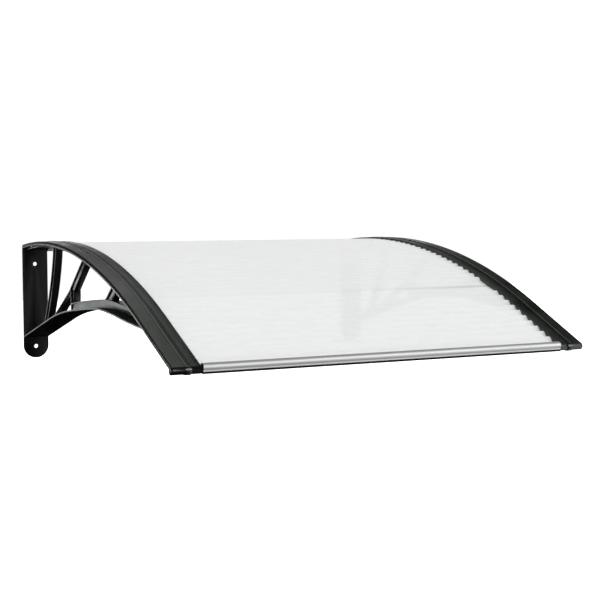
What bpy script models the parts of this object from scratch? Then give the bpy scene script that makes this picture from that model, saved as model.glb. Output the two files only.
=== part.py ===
"""Door canopy: a curved clear sheet held by two moulded brackets, a front bar and a wall rail.

The frame of the model: +X runs right along the wall, +Y points into the wall, +Z is up.
The wall is the plane y = 0, the canopy reaches towards -Y, and z = 0 is the level of
the top edge of the two wall plates. Metres throughout.

Most pieces follow one reference line, the outer line of the roof seen from the side.
A place on it is given by its run along the line from the wall, and by its height, the
distance outwards at right angles to the line. A place across the canopy is given by its
inset, the distance inwards from the outer side of the bracket.
"""

import math

import bmesh
import bpy
from mathutils import Vector

# Roof line
WIDTH = 1.000
CREST_Y = -0.1835
CREST_RISE = 0.0149
ROOF_RADIUS = 1.4651
FRONT_SLOPE = math.radians(25.33)
ROOF_REACH = 0.9854

# Clearance between neighbouring pieces
GAP = 0.0003

# Sheet
SHEET_WALL = 0.0010
WAVE_HEIGHT = 0.0052
WAVE_PITCH = 0.0247
FOLD_Y = -0.740
FOLD_BAND = 0.056
FOLD_DEPTH = 0.0012
SHEET_INSET = 0.0130
STEPS_PER_WAVE = 6

# Cover strips
STRIP_TOP = 0.0025
STRIP_WALL = 0.0031
STRIP_WIDTH = 0.0633
STRIP_SKIRT = 0.0055
STRIP_OVERRUN = 0.0020
SKIRT_WALL = 0.0030
STRIP_CHAMFER = 0.0022
STRIP_LEAN = 0.0012
RIDGE_INSET = 0.0322
RIDGE_WIDTH = 0.0024
RIDGE_HEIGHT = 0.0009
GROOVE_WIDTH = 0.0082
GROOVE_DEPTH = 0.0008
GROOVE_FLANK = 0.0012
LIP_WALL = 0.0020
LIP_SETBACK = 0.0004
LIP_EDGE = 0.0007
LIP_OVERRUN = 0.0040

# Brackets
BRACKET_WIDTH = 0.0650
SIDE_STEP = 0.0002
SHELF_WIDTH = 0.0102
SHELF_WALL = 0.0033
FLANGE_WALL = 0.0028
FLANGE_SETBACK = 0.0015
GASKET_WALL = 0.0009
GASKET_WIDTH = 0.0440
PLATE_WALL = 0.0050
PLATE_HEIGHT = 0.2850
PLATE_EDGE = 0.0008
HOLE_TOP_DROP = 0.0440
HOLE_SPACING = 0.2110
HOLE_RADIUS = 0.0052
SINK_RADIUS = 0.0095
SINK_DEPTH = 0.0016
RIB_WIDTH = 0.0070
RIB_PROUD = 0.0012
RIB_TOP_DROP = 0.0600
RIB_BOTTOM_DROP = 0.1960

# Arch under the bracket
ARCH_WALL = 0.0032
ARCH_FOOT_SLOPE = 0.281
ARCH_KNEE_Y = -0.240

# Places that the arch's underside runs through, in y and z, from the wall to the front
ARCH_LINE = ((0.0, -0.2324), (-0.240, -0.1650), (-0.340, -0.1450), (-0.450, -0.1326),
             (-0.565, -0.1240), (-0.655, -0.1287), (-0.745, -0.1387), (-0.840, -0.1462), (-0.940, -0.1530))

# Lattice between arch and flange
LATTICE_WIDTH = 0.0160
LATTICE_INSET = 0.0245
RIM_PROUD = 0.0040
RIM_WALL = 0.0028
RIM_STEP = 0.0001
WEB_HEIGHT = 0.0217
WEB_REAR_Y = -0.326

# Nose at the front end of each bracket
NOSE_RADIUS = 0.0084
NOSE_DROP = 0.0066
NOSE_EDGE = 0.0012
CLIP_WALL = 0.0012
CLIP_WIDTH = 0.0132
CLIP_INSET = 0.0286
CLIP_END = math.radians(248)

# Front bar and its seal; the bar's axis lies ahead of and above the nose's
BAR_RADIUS = 0.0086
BAR_AHEAD = 0.0038
BAR_ABOVE = 0.0044
BAR_FOOT = 0.0068
BAR_WALL = 0.0013
BAR_MOUTH = 0.0005
BAR_JAW_REACH = 0.0080
BAR_EDGE = 0.0005
SEAL_HEIGHT = 0.0041
SEAL_DEPTH = 0.0066
SEAL_SETBACK = 0.0006
SEAL_EDGE = 0.0008

# Wall rail and its seal
RAIL_WALL = 0.0012
RAIL_REACH = 0.0140
RAIL_CHAMBER_DEPTH = 0.0090
RAIL_CHAMBER_HEIGHT = 0.0082
WALL_SEAL_HEIGHT = 0.0034
WALL_SEAL_DEPTH = 0.0045

# Spigots and screws
SPIGOT_LENGTH = 0.0220
SPIGOT_PLAY = 0.0004
SPIGOT_ROOT = 0.0005
STRIP_SCREW_RADIUS = 0.0017
END_SCREW_RADIUS = 0.0013
END_SCREW_BITE = 0.0040
HEAD_PER_SHANK = 1.8
SCREW_HEAD_HEIGHT = 0.0018
SCREW_SLOT_WIDTH = 0.0010
SCREW_SLOT_DEPTH = 0.0007
BOSS_RADIUS = 0.0034
BOSS_INSET = 0.0062
BOSS_SKIN = 0.0014
STRIP_SCREWS = 5
FIRST_SCREW_RUN = 0.070
LAST_SCREW_RUN = 0.765
END_SCREW_RUN = 0.0110

# How finely round forms are cut
ROOF_STEPS = 26
ARCH_STEPS = 16
HOLE_SIDES = 16
SCREW_SIDES = 10
NOSE_SIDES = 28
BAR_STEPS = 11
STRUT_STEPS = 9

# Reach of cutters past what they cut, and of struts into flange and arch before they are trimmed
CUTTER = 0.020
FLANGE_TAIL = 0.015
ARCH_TAIL = 0.030

# Heights above the reference line, worked out from the stack of pieces
STRIP_UNDER = STRIP_TOP - STRIP_WALL
SHEET_CREST = STRIP_UNDER - GAP
SHEET_MEAN = SHEET_CREST - WAVE_HEIGHT / 2 - SHEET_WALL / 2
SHEET_TROUGH = SHEET_CREST - WAVE_HEIGHT - SHEET_WALL
GASKET_TOP = SHEET_TROUGH - GAP
FLANGE_TOP = GASKET_TOP - GASKET_WALL - GAP
FLANGE_UNDER = FLANGE_TOP - FLANGE_WALL
SHELF_TOP = STRIP_TOP - STRIP_SKIRT - GAP
SHELF_UNDER = SHELF_TOP - SHELF_WALL

# Places along the reference line
CREST_Z = CREST_RISE - ROOF_RADIUS
WALL_ANGLE = math.asin(CREST_Y / ROOF_RADIUS)
ARC_RUN = ROOF_RADIUS * (FRONT_SLOPE - WALL_ANGLE)
ARC_END_Y = CREST_Y - ROOF_RADIUS * math.sin(FRONT_SLOPE)
NOSE_RUN = ARC_RUN + (ARC_END_Y + ROOF_REACH) / math.cos(FRONT_SLOPE)
SHEET_START = PLATE_WALL + 4 * GAP


def along(y):
    """Run from the wall to the place on the reference line that lies at this y."""
    if y > ARC_END_Y:
        return ROOF_RADIUS * (math.asin((CREST_Y - y) / ROOF_RADIUS) - WALL_ANGLE)
    return ARC_RUN + (ARC_END_Y - y) / math.cos(FRONT_SLOPE)


def roof_point(run, height=0.0):
    """(y, z) of the place at this run and this height off the reference line."""
    angle = min(WALL_ANGLE + run / ROOF_RADIUS, FRONT_SLOPE)
    straight = max(run - ARC_RUN, 0.0)
    reach = ROOF_RADIUS + height
    y = CREST_Y - reach * math.sin(angle) - straight * math.cos(angle)
    z = CREST_Z + reach * math.cos(angle) - straight * math.sin(angle)
    return y, z


def roof_angle(run):
    """Slope of the reference line at this run, falling towards the front."""
    return min(WALL_ANGLE + run / ROOF_RADIUS, FRONT_SLOPE)


def run_stations(start, end, steps=ROOF_STEPS):
    """Runs from start to end, evenly spaced round the arc and none needed on the straight."""
    pitch = ARC_RUN / steps
    inner = [pitch * i for i in range(1, steps + 1) if start + pitch / 3 < pitch * i < end - pitch / 3]
    return [start] + inner + [end]


FOLD_RUN = along(FOLD_Y)
NOSE_Y, NOSE_Z = roof_point(NOSE_RUN, -NOSE_DROP)
SHEET_SIDE_END = NOSE_RUN - NOSE_RADIUS - 2 * GAP
BAR_Y = NOSE_Y - BAR_AHEAD
BAR_Z = NOSE_Z + BAR_ABOVE
BAR_BOTTOM = BAR_Z - BAR_RADIUS
BAR_SCREW_Y = BAR_Y - (BAR_FOOT - BAR_WALL) * 0.55
STRIP_END = NOSE_RUN + 0.0015
CLIP_START = FRONT_SLOPE + math.asin((STRIP_END - NOSE_RUN + 3 * GAP) / NOSE_RADIUS)


def wave(run):
    """Height of the sheet's wave at this run: none in the flat band, a small V at its fold."""
    back = FOLD_RUN - FOLD_BAND
    step = WAVE_PITCH / STEPS_PER_WAVE
    if back < run < FOLD_RUN:
        return -WAVE_HEIGHT / 2 + FOLD_DEPTH * max(0.0, 1.0 - abs(FOLD_RUN - step - run) / step)
    phase = min(abs(run - FOLD_RUN), abs(run - back)) / WAVE_PITCH
    return -WAVE_HEIGHT / 2 * math.cos(2 * math.pi * phase)


def wave_stations(start, end):
    """Runs at the crests, hollows and flanks of the waves between start and end."""
    step = WAVE_PITCH / STEPS_PER_WAVE
    back = FOLD_RUN - FOLD_BAND
    runs = [back - step * i for i in range(1, int((back - start) / step) + 1)][::-1]
    runs += [back, FOLD_RUN - 2 * step, FOLD_RUN - step]
    runs += [FOLD_RUN + step * i for i in range(int((end - FOLD_RUN) / step) + 1)]
    inner = [run for run in runs if start + step / 3 < run < end - step / 3]
    return [start] + inner + [end]


def clear_scene():
    for old in list(bpy.data.objects):
        bpy.data.objects.remove(old, do_unlink=True)


def material(name, colour, roughness, metallic=0.0, transmission=0.0, ior=1.5):
    """A Principled material, made once and shared by name."""
    found = bpy.data.materials.get(name)
    if found:
        return found
    made = bpy.data.materials.new(name)
    made.use_nodes = True
    shader = made.node_tree.nodes["Principled BSDF"]
    shader.inputs["Base Color"].default_value = (*colour, 1.0)
    shader.inputs["Roughness"].default_value = roughness
    shader.inputs["Metallic"].default_value = metallic
    shader.inputs["Transmission Weight"].default_value = transmission
    shader.inputs["IOR"].default_value = ior
    made.diffuse_color = (*colour, 1.0)
    return made


def black_plastic():
    return material("black_plastic", (0.018, 0.020, 0.019), 0.48)


def strip_plastic():
    return material("grained_black_plastic", (0.045, 0.050, 0.046), 0.60)


def clear_sheet():
    return material("clear_polycarbonate", (0.90, 0.92, 0.93), 0.12, transmission=0.75, ior=1.58)


def satin_aluminium():
    return material("satin_aluminium", (0.62, 0.63, 0.63), 0.34, metallic=1.0)


def black_rubber():
    return material("black_rubber", (0.012, 0.012, 0.012), 0.75)


def screw_steel():
    return material("zinc_plated_steel", (0.55, 0.56, 0.58), 0.35, metallic=1.0)


def finish(work, name, look, smooth_angle=30):
    """Turn a finished bmesh into a named object with faces out and one material."""
    bmesh.ops.remove_doubles(work, verts=work.verts, dist=0.000002)
    bmesh.ops.recalc_face_normals(work, faces=work.faces)
    mesh = bpy.data.meshes.new(name)
    work.to_mesh(mesh)
    work.free()
    made = bpy.data.objects.new(name, mesh)
    bpy.context.scene.collection.objects.link(made)
    if look:
        mesh.materials.append(look)
    mesh.shade_smooth()
    mesh.set_sharp_from_angle(angle=math.radians(smooth_angle))
    return made


def extrude_side(outline, x_near, x_far):
    """A solid with this (y, z) outline, reaching from x_near to x_far."""
    work = bmesh.new()
    ring = [work.verts.new((x_near, y, z)) for y, z in outline]
    face = work.faces.new(ring)
    grown = bmesh.ops.extrude_face_region(work, geom=[face])
    moved = [item for item in grown["geom"] if isinstance(item, bmesh.types.BMVert)]
    bmesh.ops.translate(work, verts=moved, vec=(x_far - x_near, 0, 0))
    return work


def extrude_front(outline, y_near, y_far):
    """A solid with this (x, z) outline, reaching from y_near to y_far."""
    work = bmesh.new()
    face = work.faces.new([work.verts.new((x, y_near, z)) for x, z in outline])
    grown = bmesh.ops.extrude_face_region(work, geom=[face])
    moved = [item for item in grown["geom"] if isinstance(item, bmesh.types.BMVert)]
    bmesh.ops.translate(work, verts=moved, vec=(0, y_far - y_near, 0))
    return work


def sweep_roof(runs, section):
    """A solid swept along the roof: section(run) gives its (x, height) outline at each run."""
    work = bmesh.new()
    rings = []
    for run in runs:
        ring = []
        for x, height in section(run):
            y, z = roof_point(run, height)
            ring.append(work.verts.new((x, y, z)))
        rings.append(ring)
    count = len(rings[0])
    for first, second in zip(rings, rings[1:]):
        for i in range(count):
            j = (i + 1) % count
            work.faces.new((first[i], first[j], second[j], second[i]))
    work.faces.new(rings[0])
    work.faces.new(rings[-1])
    return work


def cylinder(radius, length, sides, start, direction):
    """A round bar from a start point along a direction."""
    work = bmesh.new()
    bmesh.ops.create_cone(work, cap_ends=True, segments=sides, radius1=radius, radius2=radius, depth=length)
    turn = Vector((0, 0, 1)).rotation_difference(Vector(direction).normalized()).to_matrix()
    bmesh.ops.translate(work, verts=work.verts, vec=(0, 0, length / 2))
    bmesh.ops.rotate(work, verts=work.verts, cent=(0, 0, 0), matrix=turn)
    bmesh.ops.translate(work, verts=work.verts, vec=start)
    return work


def box(low, high):
    """A plain block between two corners."""
    work = bmesh.new()
    bmesh.ops.create_cube(work, size=1.0)
    size = [b - a for a, b in zip(low, high)]
    middle = [(a + b) / 2 for a, b in zip(low, high)]
    bmesh.ops.scale(work, verts=work.verts, vec=size)
    bmesh.ops.translate(work, verts=work.verts, vec=middle)
    return work


def merge(base, joined=(), cut=()):
    """Join solids to a base and cut others out of it: one closed solid comes back."""
    body = finish(base, "base", None)
    helpers = []
    for operation, solids in (("UNION", joined), ("DIFFERENCE", cut)):
        for solid in solids:
            helper = finish(solid, "tool", None)
            helper.hide_render = True
            helper.display_type = "WIRE"
            helpers.append(helper)
            step = body.modifiers.new(operation.lower(), "BOOLEAN")
            step.operation = operation
            step.solver = "EXACT"
            step.object = helper
    bpy.context.view_layer.update()
    evaluated = body.evaluated_get(bpy.context.evaluated_depsgraph_get())
    result = bpy.data.meshes.new_from_object(evaluated)
    body.modifiers.clear()
    for helper in helpers:
        bpy.data.objects.remove(helper, do_unlink=True)
    bpy.data.objects.remove(body, do_unlink=True)
    work = bmesh.new()
    work.from_mesh(result)
    bpy.data.meshes.remove(result)
    flat = [edge for edge in work.edges if len(edge.link_faces) == 2 and edge.calc_face_angle(1.0) < 0.0002]
    bmesh.ops.dissolve_edges(work, edges=flat, use_verts=False, use_face_split=False)
    return work


def combine(name, look, base, joined=(), cut=(), smooth_angle=30):
    """A merged solid as a named object with one material."""
    return finish(merge(base, joined, cut), name, look, smooth_angle)


def across(side, inset):
    """World x at this inset from the outer side of the left (-1) or right (+1) bracket."""
    return side * (WIDTH / 2 - inset)


def screw(name, start, direction, length, radius):
    """A pan-head screw: its head stands on start, its shank runs along direction."""
    axis = Vector(direction).normalized()
    head_radius = radius * HEAD_PER_SHANK
    shank = cylinder(radius, length + SCREW_HEAD_HEIGHT / 2, SCREW_SIDES,
                     Vector(start) - axis * SCREW_HEAD_HEIGHT / 2, axis)
    head = cylinder(head_radius, SCREW_HEAD_HEIGHT, SCREW_SIDES + 2,
                    Vector(start) - axis * SCREW_HEAD_HEIGHT, axis)
    outer = [edge for edge in head.edges
             if all((vert.co - Vector(start)).dot(axis) < -SCREW_HEAD_HEIGHT * 0.9 for vert in edge.verts)]
    bmesh.ops.bevel(head, geom=outer, offset=SCREW_HEAD_HEIGHT * 0.4, segments=1, profile=0.5,
                    affect="EDGES", material=-1)
    half = SCREW_SLOT_WIDTH / 2
    blade = box((-head_radius * 0.7, -half, -SCREW_SLOT_DEPTH),
                (head_radius * 0.7, half, SCREW_SLOT_DEPTH))
    turn = Vector((0, 0, 1)).rotation_difference(axis).to_matrix()
    bmesh.ops.rotate(blade, verts=blade.verts, cent=(0, 0, 0), matrix=turn)
    bmesh.ops.translate(blade, verts=blade.verts, vec=Vector(start) - axis * SCREW_HEAD_HEIGHT)
    return combine(name, screw_steel(), head, joined=[shank], cut=[blade])


def strip_screw_runs():
    pitch = (LAST_SCREW_RUN - FIRST_SCREW_RUN) / (STRIP_SCREWS - 1)
    return [FIRST_SCREW_RUN + pitch * i for i in range(STRIP_SCREWS)]


def screw_hole(radius, length, start, direction):
    """Cutter for a screw of this radius, with play all round."""
    return cylinder(radius + SPIGOT_PLAY, length, SCREW_SIDES, start, direction)


def roof_normal(run):
    angle = roof_angle(run)
    return Vector((0, -math.sin(angle), math.cos(angle)))


def roof_place(x, run, height):
    y, z = roof_point(run, height)
    return Vector((x, y, z))


def plate_outline(side):
    """Wall plate seen from the front: straight sides and a half-round foot."""
    radius = BRACKET_WIDTH / 2
    middle = across(side, radius)
    points = [(across(side, 0), 0.0)]
    for i in range(HOLE_SIDES + 1):
        turn = math.pi * i / HOLE_SIDES
        x = middle + side * radius * math.cos(turn)
        points.append((x, -(PLATE_HEIGHT - radius) - radius * math.sin(turn)))
    points.append((across(side, BRACKET_WIDTH), 0.0))
    return points


def arch_under(y):
    """Height of the arch's underside: straight behind the knee, a smooth line in front of it."""
    if y >= ARCH_KNEE_Y:
        return ARCH_LINE[0][1] - y * ARCH_FOOT_SLOPE
    places = ARCH_LINE
    i = next(k for k in range(1, len(places) - 2) if y >= places[k + 1][0] or k == len(places) - 3)
    before, start, end, after = places[i - 1:i + 3]
    span = end[0] - start[0]
    leave = (end[1] - before[1]) / (end[0] - before[0]) * span
    arrive = (after[1] - start[1]) / (after[0] - start[0]) * span
    t = (y - start[0]) / span
    rise = end[1] - start[1]
    square = 3 * rise - 2 * leave - arrive
    cube = leave + arrive - 2 * rise
    return start[1] + t * leave + t * t * square + t ** 3 * cube


def level_at(y, low, high):
    """(y, z) half way between two heights off the roof line, straight above or below y."""
    run = along(y)
    return y, roof_point(run)[1] + (low + high) / 2 / math.cos(roof_angle(run))


def flange_at(y):
    """(y, z) in the middle of the inner flange."""
    return level_at(y, FLANGE_UNDER, FLANGE_TOP)


def shelf_at(y):
    """(y, z) in the middle of the outer shelf."""
    return level_at(y, SHELF_UNDER, SHELF_TOP)


def arch_meets(level):
    """y of the place near the front where the arch's underside runs into flange or shelf."""
    rear, front = -0.7, -0.9
    for _ in range(40):
        middle = (rear + front) / 2
        if arch_under(middle) < level(middle)[1] - ARCH_TIP:
            rear = middle
        else:
            front = middle
    return rear


ARCH_TIP = 0.0004
ARCH_END_Y = arch_meets(flange_at)
ARCH_SIDE_END_Y = arch_meets(shelf_at)
ARCH_PLACES = [ARCH_KNEE_Y + (ARCH_END_Y - ARCH_KNEE_Y) * i / ARCH_STEPS for i in range(ARCH_STEPS + 1)]


def arch_band(y_rear, y_front, low, high, level=flange_at):
    """(y, z) outline of a band between two heights above the arch's underside, up to a level."""
    near = ARCH_TIP
    ys = [y_rear] + [y for y in ARCH_PLACES if y_front + near < y < y_rear - near] + [y_front]
    lower = [(y, arch_under(y) + low) for y in ys]
    upper = [(y, min(arch_under(y) + high, max(level(y)[1], arch_under(y) + low + ARCH_TIP))) for y in ys]
    return lower + upper[::-1]


def strut_side(path, offset, flare_start, flare_end):
    """A strut's path moved sideways, towards the wall for a positive offset, and further at flares."""
    side = []
    last = len(path) - 1
    for i, (y, z) in enumerate(path):
        before = path[max(i - 1, 0)]
        after = path[min(i + 1, last)]
        run = math.hypot(after[0] - before[0], after[1] - before[1])
        share = i / last
        reach = flare_start * max(0.0, 1.0 - share * 5) ** 2
        reach += flare_end * max(0.0, 1.0 - (1.0 - share) * 5) ** 2
        reach = offset + math.copysign(reach, offset)
        side.append((y - (after[1] - before[1]) / run * reach, z + (after[0] - before[0]) / run * reach))
    return side


def bend(start, pull, end, steps=STRUT_STEPS):
    """Points of a smooth bend from start to end, drawn towards pull."""
    points = []
    for i in range(steps + 1):
        t = i / steps
        y = (1 - t) ** 2 * start[0] + 2 * t * (1 - t) * pull[0] + t * t * end[0]
        z = (1 - t) ** 2 * start[1] + 2 * t * (1 - t) * pull[1] + t * t * end[1]
        points.append((y, z))
    return points


def lengthen(path, at_start, at_end):
    """The path drawn out straight at its ends, into the flange and into the arch."""
    ends = []
    for tip, inner, reach in ((path[0], path[1], at_start), (path[-1], path[-2], at_end)):
        run = math.hypot(tip[0] - inner[0], tip[1] - inner[1])
        ends.append((tip[0] + (tip[0] - inner[0]) / run * reach, tip[1] + (tip[1] - inner[1]) / run * reach))
    return ends[:1] * (at_start > 0) + path + ends[1:] * (at_end > 0)


def arch_at(y):
    """(y, z) inside the arch band, a little below its middle."""
    return y, arch_under(y) + ARCH_WALL * 0.4


# Struts, from the flange down: where each leaves the flange and meets the arch, its width and
# how far it widens on either side at its start and at its end
STRUT_REAR = {"top": -0.2000, "pull": (-0.1870, -0.0850), "foot": -0.1120,
              "width": 0.0092, "start": 0.0020, "end": 0.0070}
STRUT_MIDDLE = {"top": -0.4276, "fork": (-0.3245, -0.0960), "width": 0.0135, "start": 0.0030, "end": 0.0}
FORK_REAR = {"pull": (-0.2450, -0.1360), "foot": -0.1650, "width": 0.0062, "start": 0.0030, "end": 0.0030}
FORK_FRONT = {"foot": -0.3300, "top": -0.0930, "width": 0.0100, "start": 0.0, "end": 0.0}
STRUT_FRONT = {"top": -0.6330, "pull": (-0.5950, -0.0880), "foot": -0.5720,
               "width": 0.0200, "start": 0.0020, "end": 0.0040}


def strut_paths():
    """(path, strut) of each lattice member between the flange and the arch."""
    fork = STRUT_MIDDLE["fork"]
    top = flange_at(STRUT_MIDDLE["top"])
    half_way = ((top[0] + fork[0]) / 2, (top[1] + fork[1]) / 2)
    post_top = (FORK_FRONT["foot"], FORK_FRONT["top"])
    web_foot = (STRUT_FRONT["foot"], arch_under(STRUT_FRONT["foot"]) + WEB_HEIGHT * 0.6)
    rear = bend(flange_at(STRUT_REAR["top"]), STRUT_REAR["pull"], arch_at(STRUT_REAR["foot"]))
    fork_rear = bend(fork, FORK_REAR["pull"], arch_at(FORK_REAR["foot"]))
    front = bend(flange_at(STRUT_FRONT["top"]), STRUT_FRONT["pull"], web_foot)
    return [
        (lengthen(rear, FLANGE_TAIL, ARCH_TAIL), STRUT_REAR),
        (lengthen(bend(top, half_way, fork), FLANGE_TAIL, 0.0), STRUT_MIDDLE),
        (lengthen(fork_rear, 0.0, ARCH_TAIL), FORK_REAR),
        ([post_top, arch_at(FORK_FRONT["foot"])], FORK_FRONT),
        (lengthen(front, FLANGE_TAIL, 0.0), STRUT_FRONT),
    ]


def lattice_trim(near, far, step):
    """Cutters for what reaches past the middle of the flange and, lower by a step, of the arch."""
    middle = (FLANGE_TOP + FLANGE_UNDER) / 2 - step
    wide = math.copysign(RIM_PROUD, near - far)
    top = middle + 2 * CUTTER
    section = [(near + wide, middle), (far - wide, middle), (far - wide, top), (near + wide, top)]
    above = sweep_roof(run_stations(0.0, NOSE_RUN), lambda run: section)
    low = arch_band(0.0, ARCH_END_Y, -2 * CUTTER, ARCH_WALL / 2 - step)
    return [above, extrude_side(low, near + wide, far - wide)]


def lattice(side):
    """Web and struts with their wider rear rims, trimmed at the middle of the flange and of the arch."""
    near = across(side, LATTICE_INSET)
    far = across(side, LATTICE_INSET + LATTICE_WIDTH)
    rim_near = across(side, LATTICE_INSET - RIM_PROUD)
    rim_far = across(side, LATTICE_INSET + LATTICE_WIDTH + RIM_PROUD)
    web = extrude_side(arch_band(WEB_REAR_Y, ARCH_END_Y, ARCH_WALL / 2, WEB_HEIGHT), near, far)
    web_rim = extrude_side(arch_band(WEB_REAR_Y + RIM_STEP, ARCH_END_Y, WEB_HEIGHT - RIM_WALL,
                                     WEB_HEIGHT + RIM_STEP), rim_near, rim_far)
    stems, rims = [], []
    for path, strut in strut_paths():
        half = strut["width"] / 2
        flares = strut["start"], strut["end"]
        rear = strut_side(path, half, *flares)
        front = strut_side(path, -half, *flares)
        stems.append(extrude_side(rear + front[::-1], near, far))
        rim_rear = strut_side(path, half + RIM_STEP, *flares)
        rim_front = strut_side(path, half - RIM_WALL, *flares)
        rims.append(extrude_side(rim_rear + rim_front[::-1], rim_near, rim_far))
    slab = merge(web, stems, lattice_trim(near, far, 0.0))
    return merge(slab, [merge(web_rim, rims, lattice_trim(rim_near, rim_far, RIM_STEP))])


def rail_levels():
    """Heights of the wall rail: floor, chamber roof, jaw, lip underside and top."""
    jaw = roof_point(RAIL_WALL, SHEET_TROUGH)[1] - GAP
    roof = jaw - RAIL_WALL
    floor = roof - RAIL_CHAMBER_HEIGHT + RAIL_WALL
    lip = roof_point(RAIL_REACH, SHEET_CREST)[1] + 2 * GAP
    return floor, roof, jaw, lip, lip + RAIL_WALL


def bar_turn(height, radius):
    """Turn from the top of the bar, towards the front, at which its rear side has this height."""
    axis_height = -NOSE_DROP + BAR_ABOVE * math.cos(FRONT_SLOPE) + BAR_AHEAD * math.sin(FRONT_SLOPE)
    return FRONT_SLOPE - math.acos((height - axis_height) / radius)


def bar_round(radius, start, foot, steps):
    """(y, z) points round the bar's axis, from a turn over top and front down to a foot's front."""
    end = math.pi - math.asin(foot / radius)
    turns = [start + (end - start) * i / steps for i in range(steps + 1)]
    return [(BAR_Y - radius * math.sin(turn), BAR_Z + radius * math.cos(turn)) for turn in turns]


def slope_meets(height, z):
    """(y, z) where the line at this height off the straight front of the roof comes down to z."""
    y, start = roof_point(NOSE_RUN, height)
    return y + (z - start) / math.tan(FRONT_SLOPE), z


def bar_hollow(play=0.0):
    """(y, z) outline of the closed chamber in the front bar, shrunk all round by a play."""
    wall = BAR_WALL + play
    radius = BAR_RADIUS - wall
    rear = NOSE_RUN + BAR_MOUTH + wall
    jaw = SHEET_TROUGH - GAP + play
    floor = BAR_BOTTOM + wall
    outline = bar_round(radius, bar_turn(STRIP_UNDER + wall, radius), BAR_FOOT - wall, BAR_STEPS)
    outline += [(BAR_Y - BAR_FOOT + wall, floor), slope_meets(jaw, floor)]
    outline += [roof_point(rear, jaw), roof_point(rear, STRIP_UNDER + wall)]
    return outline


def bracket(side, name):
    """One moulding: wall plate, arch, lattice, shelf and flange under the roof, and nose."""
    outer = across(side, 0)
    step = across(side, SIDE_STEP)
    plate = extrude_front(plate_outline(side), -PLATE_WALL, 0.0)
    front_edge = [edge for edge in plate.edges if all(abs(v.co.y + PLATE_WALL) < 1e-6 for v in edge.verts)]
    bmesh.ops.bevel(plate, geom=front_edge, offset=PLATE_EDGE, segments=1, profile=0.5,
                    affect="EDGES", material=-1)
    middle = across(side, BRACKET_WIDTH / 2)
    rib_low = (middle - RIB_WIDTH / 2, -PLATE_WALL - RIB_PROUD, -RIB_BOTTOM_DROP)
    rib_high = (middle + RIB_WIDTH / 2, -PLATE_WALL / 2, -RIB_TOP_DROP)
    riser_near = across(side, SHELF_WIDTH)
    riser_far = across(side, SHEET_INSET - GAP)
    flange_far = across(side, BRACKET_WIDTH - FLANGE_SETBACK)
    section = [(step, SHELF_TOP), (riser_far, SHELF_TOP), (riser_far, FLANGE_TOP),
               (flange_far, FLANGE_TOP), (flange_far, FLANGE_UNDER), (riser_near, FLANGE_UNDER),
               (riser_near, SHELF_UNDER), (step, SHELF_UNDER)]
    flange = sweep_roof(run_stations(PLATE_WALL / 2, NOSE_RUN - NOSE_RADIUS / 2), lambda run: section)
    arch = extrude_side(arch_band(-PLATE_WALL / 2, ARCH_END_Y, 0.0, ARCH_WALL), step,
                        across(side, BRACKET_WIDTH))
    arch_side = extrude_side(arch_band(ARCH_PLACES[-2], ARCH_SIDE_END_Y, 0.0, ARCH_WALL, shelf_at),
                             across(side, 2 * SIDE_STEP), (riser_near + riser_far) / 2)
    nose = cylinder(NOSE_RADIUS, BRACKET_WIDTH, NOSE_SIDES, (outer, NOSE_Y, NOSE_Z), (-side, 0, 0))
    rims = [edge for edge in nose.edges if all(abs(v.co.x - outer) < 1e-5 for v in edge.verts)]
    bmesh.ops.bevel(nose, geom=rims, offset=NOSE_EDGE, segments=2, profile=0.5, affect="EDGES", material=-1)
    floor, roof = rail_levels()[:2]
    spigot_near = across(side, BRACKET_WIDTH - SPIGOT_ROOT)
    spigot_far = across(side, BRACKET_WIDTH + SPIGOT_LENGTH)
    rail_spigot = box((min(spigot_near, spigot_far), -RAIL_CHAMBER_DEPTH + RAIL_WALL + SPIGOT_PLAY,
                       floor + RAIL_WALL + SPIGOT_PLAY),
                      (max(spigot_near, spigot_far), -RAIL_WALL - SPIGOT_PLAY, roof - SPIGOT_PLAY))
    bar_spigot = extrude_side(bar_hollow(SPIGOT_PLAY), spigot_near, spigot_far)
    joined = [arch, arch_side, lattice(side), flange, nose, box(rib_low, rib_high), rail_spigot, bar_spigot]
    cut = []
    for drop in (HOLE_TOP_DROP, HOLE_TOP_DROP + HOLE_SPACING):
        cut.append(cylinder(HOLE_RADIUS, CUTTER, HOLE_SIDES, (middle, -CUTTER / 2, -drop), (0, 1, 0)))
    cut.append(cylinder(SINK_RADIUS, CUTTER, HOLE_SIDES + 4,
                        (middle, -PLATE_WALL - CUTTER + SINK_DEPTH, -HOLE_TOP_DROP), (0, 1, 0)))
    boss_x = across(side, BOSS_INSET)
    for run in strip_screw_runs():
        cut.append(screw_hole(STRIP_SCREW_RADIUS, 3 * SHELF_WALL,
                              roof_place(boss_x, run, SHELF_UNDER - SHELF_WALL), roof_normal(run)))
    screw_x = across(side, BRACKET_WIDTH + END_SCREW_RUN)
    cut.append(screw_hole(END_SCREW_RADIUS, BAR_WALL + END_SCREW_BITE + 2 * SPIGOT_PLAY,
                          (screw_x, BAR_SCREW_Y, BAR_BOTTOM), (0, 0, 1)))
    cut.append(screw_hole(END_SCREW_RADIUS, CUTTER, (screw_x, -CUTTER / 2, (floor + roof) / 2), (0, 1, 0)))
    return combine(name, black_plastic(), plate, joined, cut)


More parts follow.
